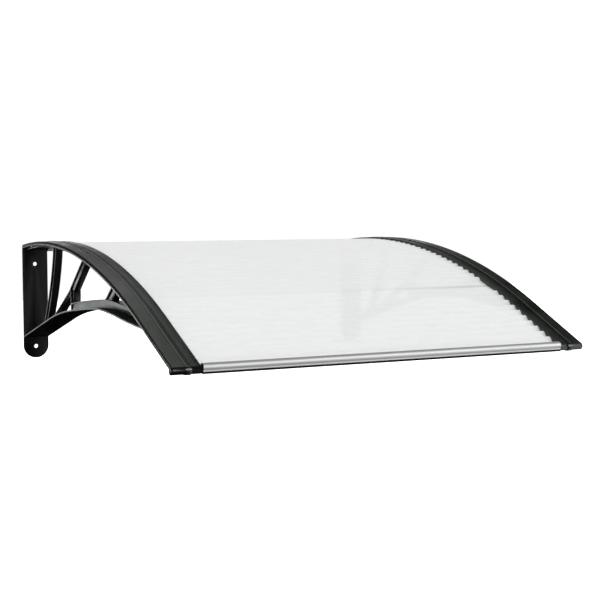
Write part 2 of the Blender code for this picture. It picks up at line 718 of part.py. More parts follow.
def cover_strip(side, name):
    """The strip that holds the sheet down: skirt, centre ridge and groove, and a waved lip."""
    top, under = STRIP_TOP, STRIP_UNDER
    skirt = STRIP_TOP - STRIP_SKIRT
    ridge_start = RIDGE_INSET - RIDGE_WIDTH / 2
    ridge_end = RIDGE_INSET + RIDGE_WIDTH / 2
    groove = ridge_end + GROOVE_FLANK
    groove_end = groove + GROOVE_WIDTH
    profile = [
        (0.0, skirt), (STRIP_LEAN, top - STRIP_CHAMFER), (STRIP_LEAN + STRIP_CHAMFER, top),
        (ridge_start - GROOVE_FLANK, top), (ridge_start, top + RIDGE_HEIGHT),
        (ridge_end, top + RIDGE_HEIGHT), (groove, top - GROOVE_DEPTH),
        (groove_end - GROOVE_FLANK, top - GROOVE_DEPTH), (groove_end, top),
        (STRIP_WIDTH - LIP_EDGE, top), (STRIP_WIDTH, top - LIP_EDGE), (STRIP_WIDTH, under),
        (SKIRT_WALL, under), (SKIRT_WALL, skirt),
    ]
    section = [(across(side, inset), height) for inset, height in profile]
    body = sweep_roof(run_stations(-STRIP_OVERRUN, STRIP_END), lambda run: section)
    bmesh.ops.bisect_plane(body, geom=body.verts[:] + body.edges[:] + body.faces[:], dist=1e-7,
                           plane_co=(0, 0, 0), plane_no=(0, 1, 0), clear_outer=True)
    bmesh.ops.holes_fill(body, edges=[edge for edge in body.edges if edge.is_boundary])
    lip_far = across(side, STRIP_WIDTH - LIP_SETBACK)
    lip_near = across(side, STRIP_WIDTH - LIP_SETBACK - LIP_WALL)

    def lip_section(run):
        low = SHEET_MEAN + SHEET_WALL / 2 + GAP + wave(run)
        return [(lip_near, low), (lip_far, low), (lip_far, (top + under) / 2), (lip_near, (top + under) / 2)]

    lip = sweep_roof(wave_stations(SHEET_START, SHEET_SIDE_END + LIP_OVERRUN), lip_section)
    boss_x = across(side, BOSS_INSET)
    foot = SHELF_TOP + GAP
    joined, cut = [lip], []
    for run in strip_screw_runs():
        joined.append(cylinder(BOSS_RADIUS, (top + under) / 2 - foot, SCREW_SIDES,
                               roof_place(boss_x, run, foot), roof_normal(run)))
        cut.append(screw_hole(STRIP_SCREW_RADIUS, top - BOSS_SKIN - foot + GAP,
                              roof_place(boss_x, run, foot - GAP), roof_normal(run)))
    cut.append(cylinder(NOSE_RADIUS + GAP, BRACKET_WIDTH + CUTTER, NOSE_SIDES,
                        (across(side, -CUTTER / 2), NOSE_Y, NOSE_Z), (-side, 0, 0)))
    return combine(name, strip_plastic(), body, joined, cut)


def nose_clip(side, name):
    """Open collar round the nose that closes bracket and strip at the front end."""
    inner = NOSE_RADIUS + GAP
    outer = inner + CLIP_WALL
    steps = NOSE_SIDES // 2 + 4
    turns = [CLIP_START + (CLIP_END - CLIP_START) * i / steps for i in range(steps + 1)]
    ring = [(NOSE_Y - outer * math.sin(t), NOSE_Z + outer * math.cos(t)) for t in turns]
    ring += [(NOSE_Y - inner * math.sin(t), NOSE_Z + inner * math.cos(t)) for t in reversed(turns)]
    work = extrude_side(ring, across(side, CLIP_INSET), across(side, CLIP_INSET + CLIP_WIDTH))
    return finish(work, name, black_plastic())


def gasket(side, name):
    """Soft strip between the bracket's flange and the hollows of the sheet."""
    near = across(side, SHEET_INSET)
    far = across(side, SHEET_INSET + GASKET_WIDTH)
    low = GASKET_TOP - GASKET_WALL
    section = [(near, GASKET_TOP), (far, GASKET_TOP), (far, low), (near, low)]
    work = sweep_roof(run_stations(SHEET_START, SHEET_SIDE_END - 0.002), lambda run: section)
    return finish(work, name, black_rubber())


def roof_sheet():
    """Thin waved sheet, bent over the brackets, its front corners cut back round the noses."""
    half = WIDTH / 2 - SHEET_INSET
    end = NOSE_RUN
    runs = wave_stations(SHEET_START, end)
    upper = [roof_point(run, SHEET_MEAN + wave(run) + SHEET_WALL / 2) for run in runs]
    lower = [roof_point(run, SHEET_MEAN + wave(run) - SHEET_WALL / 2) for run in runs]
    body = extrude_side(upper + lower[::-1], -half, half)
    notches = []
    for side in (-1, 1):
        corner = across(side, BRACKET_WIDTH + 2 * GAP)
        outside = across(side, 0)
        reach = 0.05
        low = (min(corner, outside), NOSE_Y - reach, NOSE_Z - reach)
        high = (max(corner, outside), NOSE_Y + NOSE_RADIUS + 2 * GAP, NOSE_Z + reach)
        notches.append(box(low, high))
    return combine("roof_sheet", clear_sheet(), body, cut=notches)


def front_bar():
    """Round-fronted extrusion with a jaw for the sheet's front edge and a closed chamber."""
    mouth = NOSE_RUN + BAR_MOUTH
    jaw = SHEET_TROUGH - GAP
    jaw_rear = NOSE_RUN - BAR_JAW_REACH
    foot_y = BAR_Y - BAR_FOOT
    outline = bar_round(BAR_RADIUS, bar_turn(STRIP_UNDER, BAR_RADIUS), BAR_FOOT, BAR_STEPS)
    outline += [(foot_y, BAR_BOTTOM + BAR_EDGE), (foot_y + BAR_EDGE, BAR_BOTTOM)]
    outline += [slope_meets(jaw - BAR_WALL, BAR_BOTTOM), roof_point(jaw_rear, jaw - BAR_WALL)]
    outline += [roof_point(jaw_rear, jaw), roof_point(mouth, jaw), roof_point(mouth, STRIP_UNDER)]
    reach = WIDTH / 2 - BRACKET_WIDTH - GAP
    body = extrude_side(outline, -reach, reach)
    cut = [extrude_side(bar_hollow(), -WIDTH / 2, WIDTH / 2)]
    for side in (-1, 1):
        x = across(side, BRACKET_WIDTH + END_SCREW_RUN)
        cut.append(screw_hole(END_SCREW_RADIUS, 3 * BAR_WALL,
                              (x, BAR_SCREW_Y, BAR_BOTTOM - BAR_WALL), (0, 0, 1)))
    return combine("front_bar", satin_aluminium(), body, cut=cut)


def front_seal():
    """Drip strip under the front bar, with sunk seats for the two bar screws."""
    top = BAR_BOTTOM - GAP
    low = top - SEAL_HEIGHT
    front = BAR_Y - BAR_FOOT + SEAL_SETBACK
    rear = front + SEAL_DEPTH
    outline = [(front, top), (front, low + SEAL_EDGE), (front + SEAL_EDGE, low), (rear - SEAL_EDGE, low),
               (rear, low + SEAL_EDGE), (rear, top)]
    reach = WIDTH / 2 - BRACKET_WIDTH - GAP
    body = extrude_side(outline, -reach, reach)
    sunk = SCREW_HEAD_HEIGHT + GAP
    cut = []
    for side in (-1, 1):
        below = (across(side, BRACKET_WIDTH + END_SCREW_RUN), BAR_SCREW_Y, low - SEAL_EDGE)
        cut.append(cylinder(END_SCREW_RADIUS * HEAD_PER_SHANK + GAP, sunk + SEAL_EDGE, HOLE_SIDES,
                            below, (0, 0, 1)))
        cut.append(screw_hole(END_SCREW_RADIUS, SEAL_HEIGHT + 2 * SEAL_EDGE, below, (0, 0, 1)))
    return combine("front_seal", black_rubber(), body, cut=cut)


def wall_rail():
    """Extrusion along the wall with a jaw for the sheet's rear edge and a closed chamber below."""
    floor, roof, jaw, lip, top = rail_levels()
    outline = [(0.0, floor), (0.0, top), (-RAIL_REACH + 0.0004, top), (-RAIL_REACH, top - 0.0004),
               (-RAIL_REACH, lip), (-RAIL_WALL, lip), (-RAIL_WALL, jaw), (-RAIL_REACH, jaw),
               (-RAIL_REACH, roof), (-RAIL_CHAMBER_DEPTH, roof), (-RAIL_CHAMBER_DEPTH, floor)]
    reach = WIDTH / 2 - BRACKET_WIDTH - GAP
    body = extrude_side(outline, -reach, reach)
    hollow = [(-RAIL_CHAMBER_DEPTH + RAIL_WALL, floor + RAIL_WALL), (-RAIL_CHAMBER_DEPTH + RAIL_WALL, roof),
              (-RAIL_WALL, roof), (-RAIL_WALL, floor + RAIL_WALL)]
    cut = [extrude_side(hollow, -WIDTH / 2, WIDTH / 2)]
    for side in (-1, 1):
        x = across(side, BRACKET_WIDTH + END_SCREW_RUN)
        cut.append(screw_hole(END_SCREW_RADIUS, 3 * RAIL_WALL,
                              (x, -RAIL_CHAMBER_DEPTH - RAIL_WALL, (floor + roof) / 2), (0, 1, 0)))
    return combine("wall_rail", satin_aluminium(), body, cut=cut)


def wall_seal():
    """Rubber strip on the rail's top that closes the joint to the wall."""
    low = rail_levels()[-1] + GAP
    depth = WALL_SEAL_DEPTH
    height = WALL_SEAL_HEIGHT
    outline = [(0.0, low), (0.0, low + height), (-depth * 0.3, low + height),
               (-depth * 0.8, low + height * 0.6), (-depth, low)]
    reach = WIDTH / 2 - BRACKET_WIDTH - GAP
    return finish(extrude_side(outline, -reach, reach), "wall_seal", black_rubber())


def fasteners():
    """Screws that pull the strips down, and those that hold bar and rail on their spigots."""
    floor, roof = rail_levels()[:2]
    strip_length = STRIP_TOP - BOSS_SKIN - SHELF_UNDER
    bar_length = SEAL_HEIGHT + GAP - SCREW_HEAD_HEIGHT + BAR_WALL + END_SCREW_BITE
    rail_length = RAIL_CHAMBER_DEPTH - RAIL_WALL - GAP
    for side, word in ((-1, "left"), (1, "right")):
        boss_x = across(side, BOSS_INSET)
        for number, run in enumerate(strip_screw_runs(), start=1):
            seat = roof_place(boss_x, run, SHELF_UNDER - GAP)
            screw(f"strip_screw_{word}_{number}", seat, roof_normal(run), strip_length, STRIP_SCREW_RADIUS)
        x = across(side, BRACKET_WIDTH + END_SCREW_RUN)
        bar_seat = BAR_BOTTOM - GAP - SEAL_HEIGHT + SCREW_HEAD_HEIGHT
        screw("bar_screw_" + word, (x, BAR_SCREW_Y, bar_seat), (0, 0, 1), bar_length, END_SCREW_RADIUS)
        screw("rail_screw_" + word, (x, -RAIL_CHAMBER_DEPTH - GAP, (floor + roof) / 2), (0, 1, 0),
              rail_length, END_SCREW_RADIUS)


def main():
    clear_scene()
    for side, word in ((-1, "left"), (1, "right")):
        bracket(side, "bracket_" + word)
        cover_strip(side, "cover_strip_" + word)
        nose_clip(side, "nose_clip_" + word)
        gasket(side, "gasket_" + word)
    roof_sheet()
    front_bar()
    front_seal()
    wall_rail()
    wall_seal()
    fasteners()


main()
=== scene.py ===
"""Looks of the door canopy: finishes, fine edges, the waved clear sheet, fasteners and stage.

Laid out as an add-on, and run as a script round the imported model. Metres, +Z up; the wall
is the plane y = 0 and the canopy reaches towards -Y.
"""

import math

import bmesh
import bpy
from mathutils import Matrix, Vector


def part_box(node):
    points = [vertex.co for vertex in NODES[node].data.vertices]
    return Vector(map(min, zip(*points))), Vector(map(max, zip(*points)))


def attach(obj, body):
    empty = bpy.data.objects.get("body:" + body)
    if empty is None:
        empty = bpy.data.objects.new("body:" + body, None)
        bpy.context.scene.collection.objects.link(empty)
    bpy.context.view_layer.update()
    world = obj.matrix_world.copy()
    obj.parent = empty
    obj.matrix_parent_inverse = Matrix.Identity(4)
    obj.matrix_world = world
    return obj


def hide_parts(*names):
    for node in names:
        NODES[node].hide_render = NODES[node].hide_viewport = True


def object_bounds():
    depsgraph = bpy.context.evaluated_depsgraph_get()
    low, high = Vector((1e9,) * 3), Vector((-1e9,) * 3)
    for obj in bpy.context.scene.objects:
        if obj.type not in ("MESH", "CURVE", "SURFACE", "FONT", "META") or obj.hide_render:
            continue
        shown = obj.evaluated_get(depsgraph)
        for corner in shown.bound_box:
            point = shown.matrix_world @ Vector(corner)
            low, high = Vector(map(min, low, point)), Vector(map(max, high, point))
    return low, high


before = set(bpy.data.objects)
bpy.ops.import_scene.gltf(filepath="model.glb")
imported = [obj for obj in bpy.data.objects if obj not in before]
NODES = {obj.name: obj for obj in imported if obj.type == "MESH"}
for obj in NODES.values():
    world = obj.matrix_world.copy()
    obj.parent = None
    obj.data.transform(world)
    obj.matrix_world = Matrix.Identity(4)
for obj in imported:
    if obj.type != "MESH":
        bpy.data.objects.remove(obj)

bl_info = {
    "name": "Door Canopy Looks",
    "version": (1, 0, 0),
    "blender": (4, 5, 0),
    "location": "View3D > Sidebar > Canopy",
    "description": "Dresses the door canopy: clear sheet, moulded brackets and strips, bars, seals and stage",
    "category": "Object",
}

CAD_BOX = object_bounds()
BODY = "root"
SIDES = ((-1, "left"), (1, "right"))


# Helpers for node trees

def place(nodes, kind, **settings):
    node = nodes.new(kind)
    for key, value in settings.items():
        setattr(node, key, value)
    return node


def feed(tree, socket, value):
    """Link a socket to another socket, or set it to a constant."""
    if isinstance(value, bpy.types.NodeSocket):
        tree.links.new(value, socket)
    else:
        socket.default_value = value


def maths(tree, operation, *values):
    """Work out a value from sockets or numbers."""
    node = place(tree.nodes, "ShaderNodeMath", operation=operation)
    for socket, value in zip(node.inputs, values):
        feed(tree, socket, value)
    return node.outputs[0]


def ramp(tree, source, start, end, low=0.0, high=1.0, kind="SMOOTHSTEP"):
    """Carry a value from the range start to end over to the range low to high."""
    node = place(tree.nodes, "ShaderNodeMapRange", interpolation_type=kind)
    for name, value in (("From Min", start), ("From Max", end), ("To Min", low), ("To Max", high)):
        node.inputs[name].default_value = value
    tree.links.new(source, node.inputs["Value"])
    return node.outputs["Result"]


def mix_numbers(tree, factor, first, second):
    node = place(tree.nodes, "ShaderNodeMix", data_type="FLOAT")
    feed(tree, node.inputs["Factor"], factor)
    feed(tree, node.inputs[2], first)
    feed(tree, node.inputs[3], second)
    return node.outputs[0]


def mix_colours(tree, factor, first, second):
    node = place(tree.nodes, "ShaderNodeMix", data_type="RGBA")
    feed(tree, node.inputs["Factor"], factor)
    feed(tree, node.inputs[6], first)
    feed(tree, node.inputs[7], second)
    return node.outputs[2]


def noise(tree, vector, scale, detail=2.0, roughness=0.5):
    node = place(tree.nodes, "ShaderNodeTexNoise")
    tree.links.new(vector, node.inputs["Vector"])
    feed(tree, node.inputs["Scale"], scale)
    node.inputs["Detail"].default_value = detail
    node.inputs["Roughness"].default_value = roughness
    return node.outputs["Fac"]


def object_place(tree):
    return tree.nodes.new("ShaderNodeTexCoord").outputs["Object"]


def axes_of(tree, vector):
    """The X, Y and Z outputs of a vector."""
    split = tree.nodes.new("ShaderNodeSeparateXYZ")
    tree.links.new(vector, split.inputs[0])
    return split.outputs


def near_line(tree, source, centre, outer, inner):
    """Mask that is 1 within inner of the centre and fades to 0 at outer."""
    apart = maths(tree, "ABSOLUTE", maths(tree, "SUBTRACT", source, centre))
    return ramp(tree, apart, outer, inner)


def new_group(name, outputs, inputs=None):
    """A fresh node group with its sockets: outputs by kind and inputs by default. Gives its exit too."""
    group = bpy.data.node_groups.new(name, "ShaderNodeTree")
    for socket, value in (inputs or {}).items():
        kind = "NodeSocketFloat" if isinstance(value, float) else "NodeSocketColor"
        entry = group.interface.new_socket(name=socket, in_out="INPUT", socket_type=kind)
        entry.default_value = value
    for socket, kind in outputs.items():
        group.interface.new_socket(name=socket, in_out="OUTPUT", socket_type=kind)
    return group, group.nodes.new("NodeGroupOutput").inputs


def new_material(name):
    """A fresh node material, its tree and its Principled shader."""
    made = bpy.data.materials.new(name)
    made.use_nodes = True
    return made, made.node_tree, made.node_tree.nodes["Principled BSDF"]


# Shared effects

SURFACE = {"Color": "NodeSocketColor", "Roughness": "NodeSocketFloat", "Height": "NodeSocketFloat"}


def grain_group():
    """Moulded grain: a height, a roughness and a shade that change over the surface."""
    found = bpy.data.node_groups.get("moulded_grain")
    if found:
        return found
    group, leave = new_group("moulded_grain", SURFACE, {
        "Grain Size": 900.0, "Base": (0.02, 0.02, 0.02, 1), "Lighter": (0.04, 0.04, 0.04, 1),
        "Roughness Low": 0.3, "Roughness High": 0.5})
    entry = group.nodes.new("NodeGroupInput").outputs
    where = object_place(group)
    fine = noise(group, where, entry["Grain Size"], 2.0, 0.6)
    broad = ramp(group, noise(group, where, 14.0, 4.0), 0.35, 0.65, kind="LINEAR")
    speck = ramp(group, fine, 0.40, 0.70, kind="LINEAR")
    share = maths(group, "MULTIPLY_ADD", speck, 0.55, maths(group, "MULTIPLY", broad, 0.45))
    feed(group, leave["Color"], mix_colours(group, share, entry["Base"], entry["Lighter"]))
    rough = mix_numbers(group, broad, entry["Roughness Low"], entry["Roughness High"])
    feed(group, leave["Roughness"], rough)
    feed(group, leave["Height"], fine)
    return group


def drawn_group():
    """Drawn metal: long faint lines along X, as an extrusion shows, and soft shade changes."""
    found = bpy.data.node_groups.get("drawn_lines")
    if found:
        return found
    group, leave = new_group("drawn_lines", SURFACE, {
        "Base": (0.6, 0.6, 0.6, 1), "Darker": (0.5, 0.5, 0.5, 1),
        "Roughness Low": 0.25, "Roughness High": 0.4})
    entry = group.nodes.new("NodeGroupInput").outputs
    where = object_place(group)
    stretch = place(group.nodes, "ShaderNodeMapping")
    stretch.inputs["Scale"].default_value = (4.0, 2600.0, 2600.0)
    group.links.new(where, stretch.inputs["Vector"])
    lines = noise(group, stretch.outputs["Vector"], 1.0, 3.0)
    broad = noise(group, where, 9.0)
    feed(group, leave["Color"], mix_colours(group, lines, entry["Base"], entry["Darker"]))
    rough = mix_numbers(group, broad, entry["Roughness Low"], entry["Roughness High"])
    feed(group, leave["Roughness"], rough)
    feed(group, leave["Height"], lines)
    return group


def band_group():
    """Masks for the cover strip's parts by their distance from the middle: side, ridge and groove, which
    carry the strip's painted shade and painted highlight.
    """
    found = bpy.data.node_groups.get("strip_bands")
    if found:
        return found
    groove_start = RIDGE_INSET + RIDGE_WIDTH / 2 + GROOVE_FLANK
    bands = {
        "Side": (0.0, STRIP_LEAN),
        "Ridge Painted Highlight": (RIDGE_INSET - RIDGE_WIDTH / 2, RIDGE_INSET + RIDGE_WIDTH / 2),
        "Groove Painted Shade": (groove_start, groove_start + GROOVE_WIDTH - GROOVE_FLANK),
    }
    group, leave = new_group("strip_bands", dict.fromkeys(bands, "NodeSocketFloat"))
    out = maths(group, "ABSOLUTE", axes_of(group, object_place(group))["X"])
    for name, (near, far) in bands.items():
        centre = WIDTH / 2 - (near + far) / 2
        half = (far - near) / 2
        feed(group, leave[name], near_line(group, out, centre, half + BAND_FADE_OUT, half - BAND_FADE_IN))
    return group


def bracket_group():
    """Masks for the bracket: the polished roll at the nose, and the matt outer side of its front part."""
    found = bpy.data.node_groups.get("bracket_front")
    if found:
        return found
    group, leave = new_group("bracket_front", {"Roll": "NodeSocketFloat", "Matt Side": "NodeSocketFloat"})
    axes = axes_of(group, object_place(group))
    front = ramp(group, axes["Y"], MATT_START_Y, MATT_FULL_Y)
    out = maths(group, "ABSOLUTE", axes["X"])
    outer = ramp(group, out, WIDTH / 2 - MATT_START_INSET, WIDTH / 2 - MATT_FULL_INSET)
    feed(group, leave["Roll"], ramp(group, axes["Y"], ROLL_START_Y, ROLL_FULL_Y))
    feed(group, leave["Matt Side"], maths(group, "MULTIPLY", front, outer))
    return group


# Finishes

def effect_material(name, group, values, bump_strength, depth):
    """Material whose colour, roughness and relief come from a shared effect with these inputs."""
    made, tree, shader = new_material(name)
    effect = place(tree.nodes, "ShaderNodeGroup", node_tree=group)
    for socket, value in values.items():
        effect.inputs[socket].default_value = value
    bump = place(tree.nodes, "ShaderNodeBump")
    bump.inputs["Strength"].default_value = bump_strength
    bump.inputs["Distance"].default_value = depth
    tree.links.new(effect.outputs["Height"], bump.inputs["Height"])
    tree.links.new(effect.outputs["Color"], shader.inputs["Base Color"])
    tree.links.new(effect.outputs["Roughness"], shader.inputs["Roughness"])
    tree.links.new(bump.outputs["Normal"], shader.inputs["Normal"])
    return made


def moulded_material(name, base, lighter, rough, grain, depth):
    found = bpy.data.materials.get(name)
    if found:
        return found
    values = {"Grain Size": grain, "Base": (*base, 1), "Lighter": (*lighter, 1),
              "Roughness Low": rough[0], "Roughness High": rough[1]}
    return effect_material(name, grain_group(), values, 0.5, depth)


def drawn_material(name, base, darker, rough, depth):
    found = bpy.data.materials.get(name)
    if found:
        return found
    values = {"Base": (*base, 1), "Darker": (*darker, 1),
              "Roughness Low": rough[0], "Roughness High": rough[1]}
    made = effect_material(name, drawn_group(), values, 0.3, depth)
    made.node_tree.nodes["Principled BSDF"].inputs["Metallic"].default_value = 1.0
    return made


def sheet_material(settings):
    """Milky clear polycarbonate: hazy, a little see-through, with a painted shade line and a painted
    highlight line along a crease.
    """
    found = bpy.data.materials.get("clear_polycarbonate_look")
    if found:
        return found
    made, tree, shader = new_material("clear_polycarbonate_look")
    where = object_place(tree)
    axes = axes_of(tree, where)
    haze = noise(tree, where, 5.0, 3.0)
    colour = mix_colours(tree, haze, (*settings.sheet, 1), (*settings.sheet_haze, 1))
    # Painted shade: a dark line on the crease's rear flank, which turns from the light, deeper towards the
    # right. Painted highlight: a light line on the crease's front flank.
    painted_shade_stronger_right = ramp(tree, axes["X"], 0.05, 0.45, 0.13, 1.0)
    for back, reach, shade, strength in ((CREASE_PAINTED_SHADE_BACK, CREASE_PAINTED_SHADE_REACH, 0.72, painted_shade_stronger_right),
                                         (CREASE_PAINTED_HIGHLIGHT_BACK, CREASE_PAINTED_HIGHLIGHT_REACH, 0.98, 0.5)):
        line = near_line(tree, axes["Y"], roof_point(FOLD_RUN - back)[0], reach, reach / 4)
        colour = mix_colours(tree, maths(tree, "MULTIPLY", line, strength), colour, (shade, shade, shade, 1))
    tree.links.new(colour, shader.inputs["Base Color"])
    tree.links.new(ramp(tree, haze, 0.0, 1.0, 0.81, 0.85, "LINEAR"), shader.inputs["Alpha"])
    shader.inputs["Roughness"].default_value = 0.45
    shader.inputs["Specular IOR Level"].default_value = 0.05
    shader.inputs["IOR"].default_value = 1.58
    return made


def black_plastic(settings):
    """Black moulded plastic, polished on the nose's roll and matt on the front part's outer side."""
    found = bpy.data.materials.get("black_plastic_look")
    if found:
        return found
    made = moulded_material("black_plastic_look", settings.plastic, (0.005, 0.0055, 0.0051),
                            (0.32, 0.42), 1100.0, 0.00002)
    tree = made.node_tree
    shader = tree.nodes["Principled BSDF"]
    front = place(tree.nodes, "ShaderNodeGroup", node_tree=bracket_group()).outputs
    grained = shader.inputs["Roughness"].links[0].from_socket
    tree.links.new(mix_numbers(tree, front["Roll"], grained, 0.30), shader.inputs["Roughness"])
    shine = ramp(tree, front["Roll"], 0.0, 1.0, 0.3, 1.0, "LINEAR")
    tree.links.new(mix_numbers(tree, front["Matt Side"], shine, 0.04), shader.inputs["Specular IOR Level"])
    return made


def strip_plastic(settings):
    """Grained grey-black plastic, smooth on its narrow side, with painted shade that makes the narrow side
    black and the groove darker, and a painted highlight along the ridge.
    """
    found = bpy.data.materials.get("grained_plastic_look")
    if found:
        return found
    made = moulded_material("grained_plastic_look", (0.001, 0.002, 0.001), settings.strip_grain,
                            (0.26, 0.42), 330.0, 0.00110)
    tree = made.node_tree
    shader = tree.nodes["Principled BSDF"]
    colour = shader.inputs["Base Color"].links[0].from_socket
    grained = shader.inputs["Roughness"].links[0].from_socket
    bands = place(tree.nodes, "ShaderNodeGroup", node_tree=band_group()).outputs
    # Painted highlight along the ridge, and painted shade in the groove and on the narrow side, mixed into
    # the grain's colour
    for name, shade, strength in (("Ridge Painted Highlight", (0.12, 0.135, 0.115, 1), 0.55),
                                  ("Groove Painted Shade", (0.002, 0.003, 0.002, 1), 0.55),
                                  ("Side", (0.003, 0.003, 0.003, 1), 1.0)):
        colour = mix_colours(tree, maths(tree, "MULTIPLY", bands[name], strength), colour, shade)
    tree.links.new(colour, shader.inputs["Base Color"])
    tree.links.new(mix_numbers(tree, bands["Side"], grained, 0.24), shader.inputs["Roughness"])
    shine = ramp(tree, bands["Groove Painted Shade"], 0.0, 1.0, 0.5, 0.22, "LINEAR")
    tree.links.new(shine, shader.inputs["Specular IOR Level"])
    relief = ramp(tree, bands["Side"], 0.0, 1.0, 0.5, 0.0, "LINEAR")
    tree.links.new(relief, tree.nodes["Bump"].inputs["Strength"])
    return made


def rubber(settings):
    made = moulded_material("black_rubber_look", settings.seal, (0.008, 0.008, 0.008),
                            (0.60, 0.80), 1500.0, 0.00010)
    made.node_tree.nodes["Principled BSDF"].inputs["Specular IOR Level"].default_value = 0.15
    return made


def aluminium(settings):
    return drawn_material("satin_aluminium_look", settings.metal, (0.64, 0.65, 0.64),
                          (0.58, 0.66), 0.00002)


def zinc(settings):
    return drawn_material("zinc_steel_look", settings.screw, (0.50, 0.51, 0.54),
                          (0.22, 0.38), 0.00003)


def dress(node, look):
    """Give a kept CAD node its finish."""
    mesh = NODES[node].data
    mesh.materials.clear()
    mesh.materials.append(look)


# The roof line and the sizes that the fine pieces follow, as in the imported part

WIDTH = 1.000
CREST_Y = -0.1835
CREST_RISE = 0.0149
ROOF_RADIUS = 1.4651
FRONT_SLOPE = math.radians(25.33)
ROOF_REACH = 0.9854
GAP = 0.0003
SHEET_WALL = 0.0010
WAVE_HEIGHT = 0.0052
WAVE_PITCH = 0.0247
FOLD_Y = -0.740
FOLD_BAND = 0.056
FOLD_DEPTH = 0.0012
# How far behind the flat band's front end the crease's painted shade line and painted highlight line lie, and
# how far each reaches
CREASE_PAINTED_SHADE_BACK = 0.0292
CREASE_PAINTED_SHADE_REACH = 0.0075
CREASE_PAINTED_HIGHLIGHT_BACK = 0.0130
CREASE_PAINTED_HIGHLIGHT_REACH = 0.0055
SHEET_INSET = 0.0130
FINE_STEPS = 18
STRIP_TOP = 0.0025
STRIP_WALL = 0.0031
STRIP_WIDTH = 0.0633
STRIP_SKIRT = 0.0055
SKIRT_WALL = 0.0030
STRIP_LEAN = 0.0012
RIDGE_INSET = 0.0322
RIDGE_WIDTH = 0.0024
RIDGE_HEIGHT = 0.0009
GROOVE_WIDTH = 0.0082
GROOVE_DEPTH = 0.0008
GROOVE_FLANK = 0.0012
BAND_FADE_OUT = 0.0003
BAND_FADE_IN = 0.0001
LIP_WALL = 0.0020
LIP_SETBACK = 0.0004
LIP_OVERRUN = 0.0040
STRIP_END_BACK = 0.0016
STRIP_STEPS = 60
STRIP_EDGE_ROUND = 0.0024
RIDGE_ROUND = 0.0005
LIP_EDGE_ROUND = 0.0008
BRACKET_WIDTH = 0.0650
SHELF_WALL = 0.0033
BRACKET_EDGE_ROUND = 0.0005
CLIP_EDGE_ROUND = 0.0003
FLAT_ANGLE = math.radians(0.05)
PLATE_WALL = 0.0050
NOSE_RADIUS = 0.0084
NOSE_DROP = 0.0066
BAR_RADIUS = 0.0086
BAR_AHEAD = 0.0038
BAR_ABOVE = 0.0044
BAR_FOOT = 0.0068
BAR_WALL = 0.0013
BAR_MOUTH = 0.0005
BAR_JAW_REACH = 0.0080
BAR_EDGE = 0.0005
BAR_STEPS = 36
CHAMBER_STEPS = 24
STRIP_SCREW_RADIUS = 0.0017
END_SCREW_RADIUS = 0.0013
HEAD_PER_SHANK = 1.8
SCREW_HEAD_HEIGHT = 0.0018
SCREW_SLOT_WIDTH = 0.0010
SCREW_SLOT_DEPTH = 0.0007
SCREW_PLAY = 0.0004
SCREW_SIDES = 32
SHANK_SIDES = 20
THREAD_PITCH = 0.0009
THREAD_DEPTH_PER_RADIUS = 0.18
THREAD_STEPS = 6
THREAD_SHARPNESS = 1.5
POINT_LENGTH_PER_RADIUS = 1.2
POINT_SHARE = 0.35
HEAD_RINGS = 5
HEAD_FACE_SHARE = 0.80
HEAD_DOME_SHARE = 0.55
HEAD_OVERLAP_SHARE = 0.9
SLOT_REACH_SHARE = 0.7
BOSS_RADIUS = 0.0034
BOSS_INSET = 0.0062
BOSS_SKIN = 0.0014
BOSS_SIDES = 24
STRIP_SCREWS = 5
FIRST_SCREW_RUN = 0.070
LAST_SCREW_RUN = 0.765

CREST_Z = CREST_RISE - ROOF_RADIUS
WALL_ANGLE = math.asin(CREST_Y / ROOF_RADIUS)
ARC_RUN = ROOF_RADIUS * (FRONT_SLOPE - WALL_ANGLE)
ARC_END_Y = CREST_Y - ROOF_RADIUS * math.sin(FRONT_SLOPE)
NOSE_RUN = ARC_RUN + (ARC_END_Y + ROOF_REACH) / math.cos(FRONT_SLOPE)
SHEET_START = PLATE_WALL + 4 * GAP
STRIP_UNDER = STRIP_TOP - STRIP_WALL
SHEET_CREST = STRIP_UNDER - GAP
SHEET_MEAN = SHEET_CREST - WAVE_HEIGHT / 2 - SHEET_WALL / 2
SHEET_TROUGH = SHEET_CREST - WAVE_HEIGHT - SHEET_WALL
SHELF_TOP = STRIP_TOP - STRIP_SKIRT - GAP


def roof_angle(run):
    return min(WALL_ANGLE + run / ROOF_RADIUS, FRONT_SLOPE)


def roof_point(run, height=0.0):
    """(y, z) of the place at this run along the roof line and this height off it."""
    angle = roof_angle(run)
    straight = max(run - ARC_RUN, 0.0)
    reach = ROOF_RADIUS + height
    y = CREST_Y - reach * math.sin(angle) - straight * math.cos(angle)
    z = CREST_Z + reach * math.cos(angle) - straight * math.sin(angle)
    return y, z


def along(y):
    if y > ARC_END_Y:
        return ROOF_RADIUS * (math.asin((CREST_Y - y) / ROOF_RADIUS) - WALL_ANGLE)
    return ARC_RUN + (ARC_END_Y - y) / math.cos(FRONT_SLOPE)


FOLD_RUN = along(FOLD_Y)
NOSE_Y, NOSE_Z = roof_point(NOSE_RUN, -NOSE_DROP)
SHEET_SIDE_END = NOSE_RUN - NOSE_RADIUS - 2 * GAP
BAR_Y = NOSE_Y - BAR_AHEAD
BAR_Z = NOSE_Z + BAR_ABOVE
BAR_BOTTOM = BAR_Z - BAR_RADIUS

# Where the bracket's polished roll and matt outer side begin and are complete
ROLL_START_Y = NOSE_Y + 0.018
ROLL_FULL_Y = NOSE_Y + 0.012
MATT_START_Y = -0.800
MATT_FULL_Y = -0.860
MATT_START_INSET = 0.0035
MATT_FULL_INSET = 0.0020

# Studio
FLOOR_HALF = 30.0
SEEN_STRENGTH = 1.05
MIRRORED_SHADE = 0.8
REAR_LIGHT_SHARE = 0.12


def across(side, inset):
    return side * (WIDTH / 2 - inset)


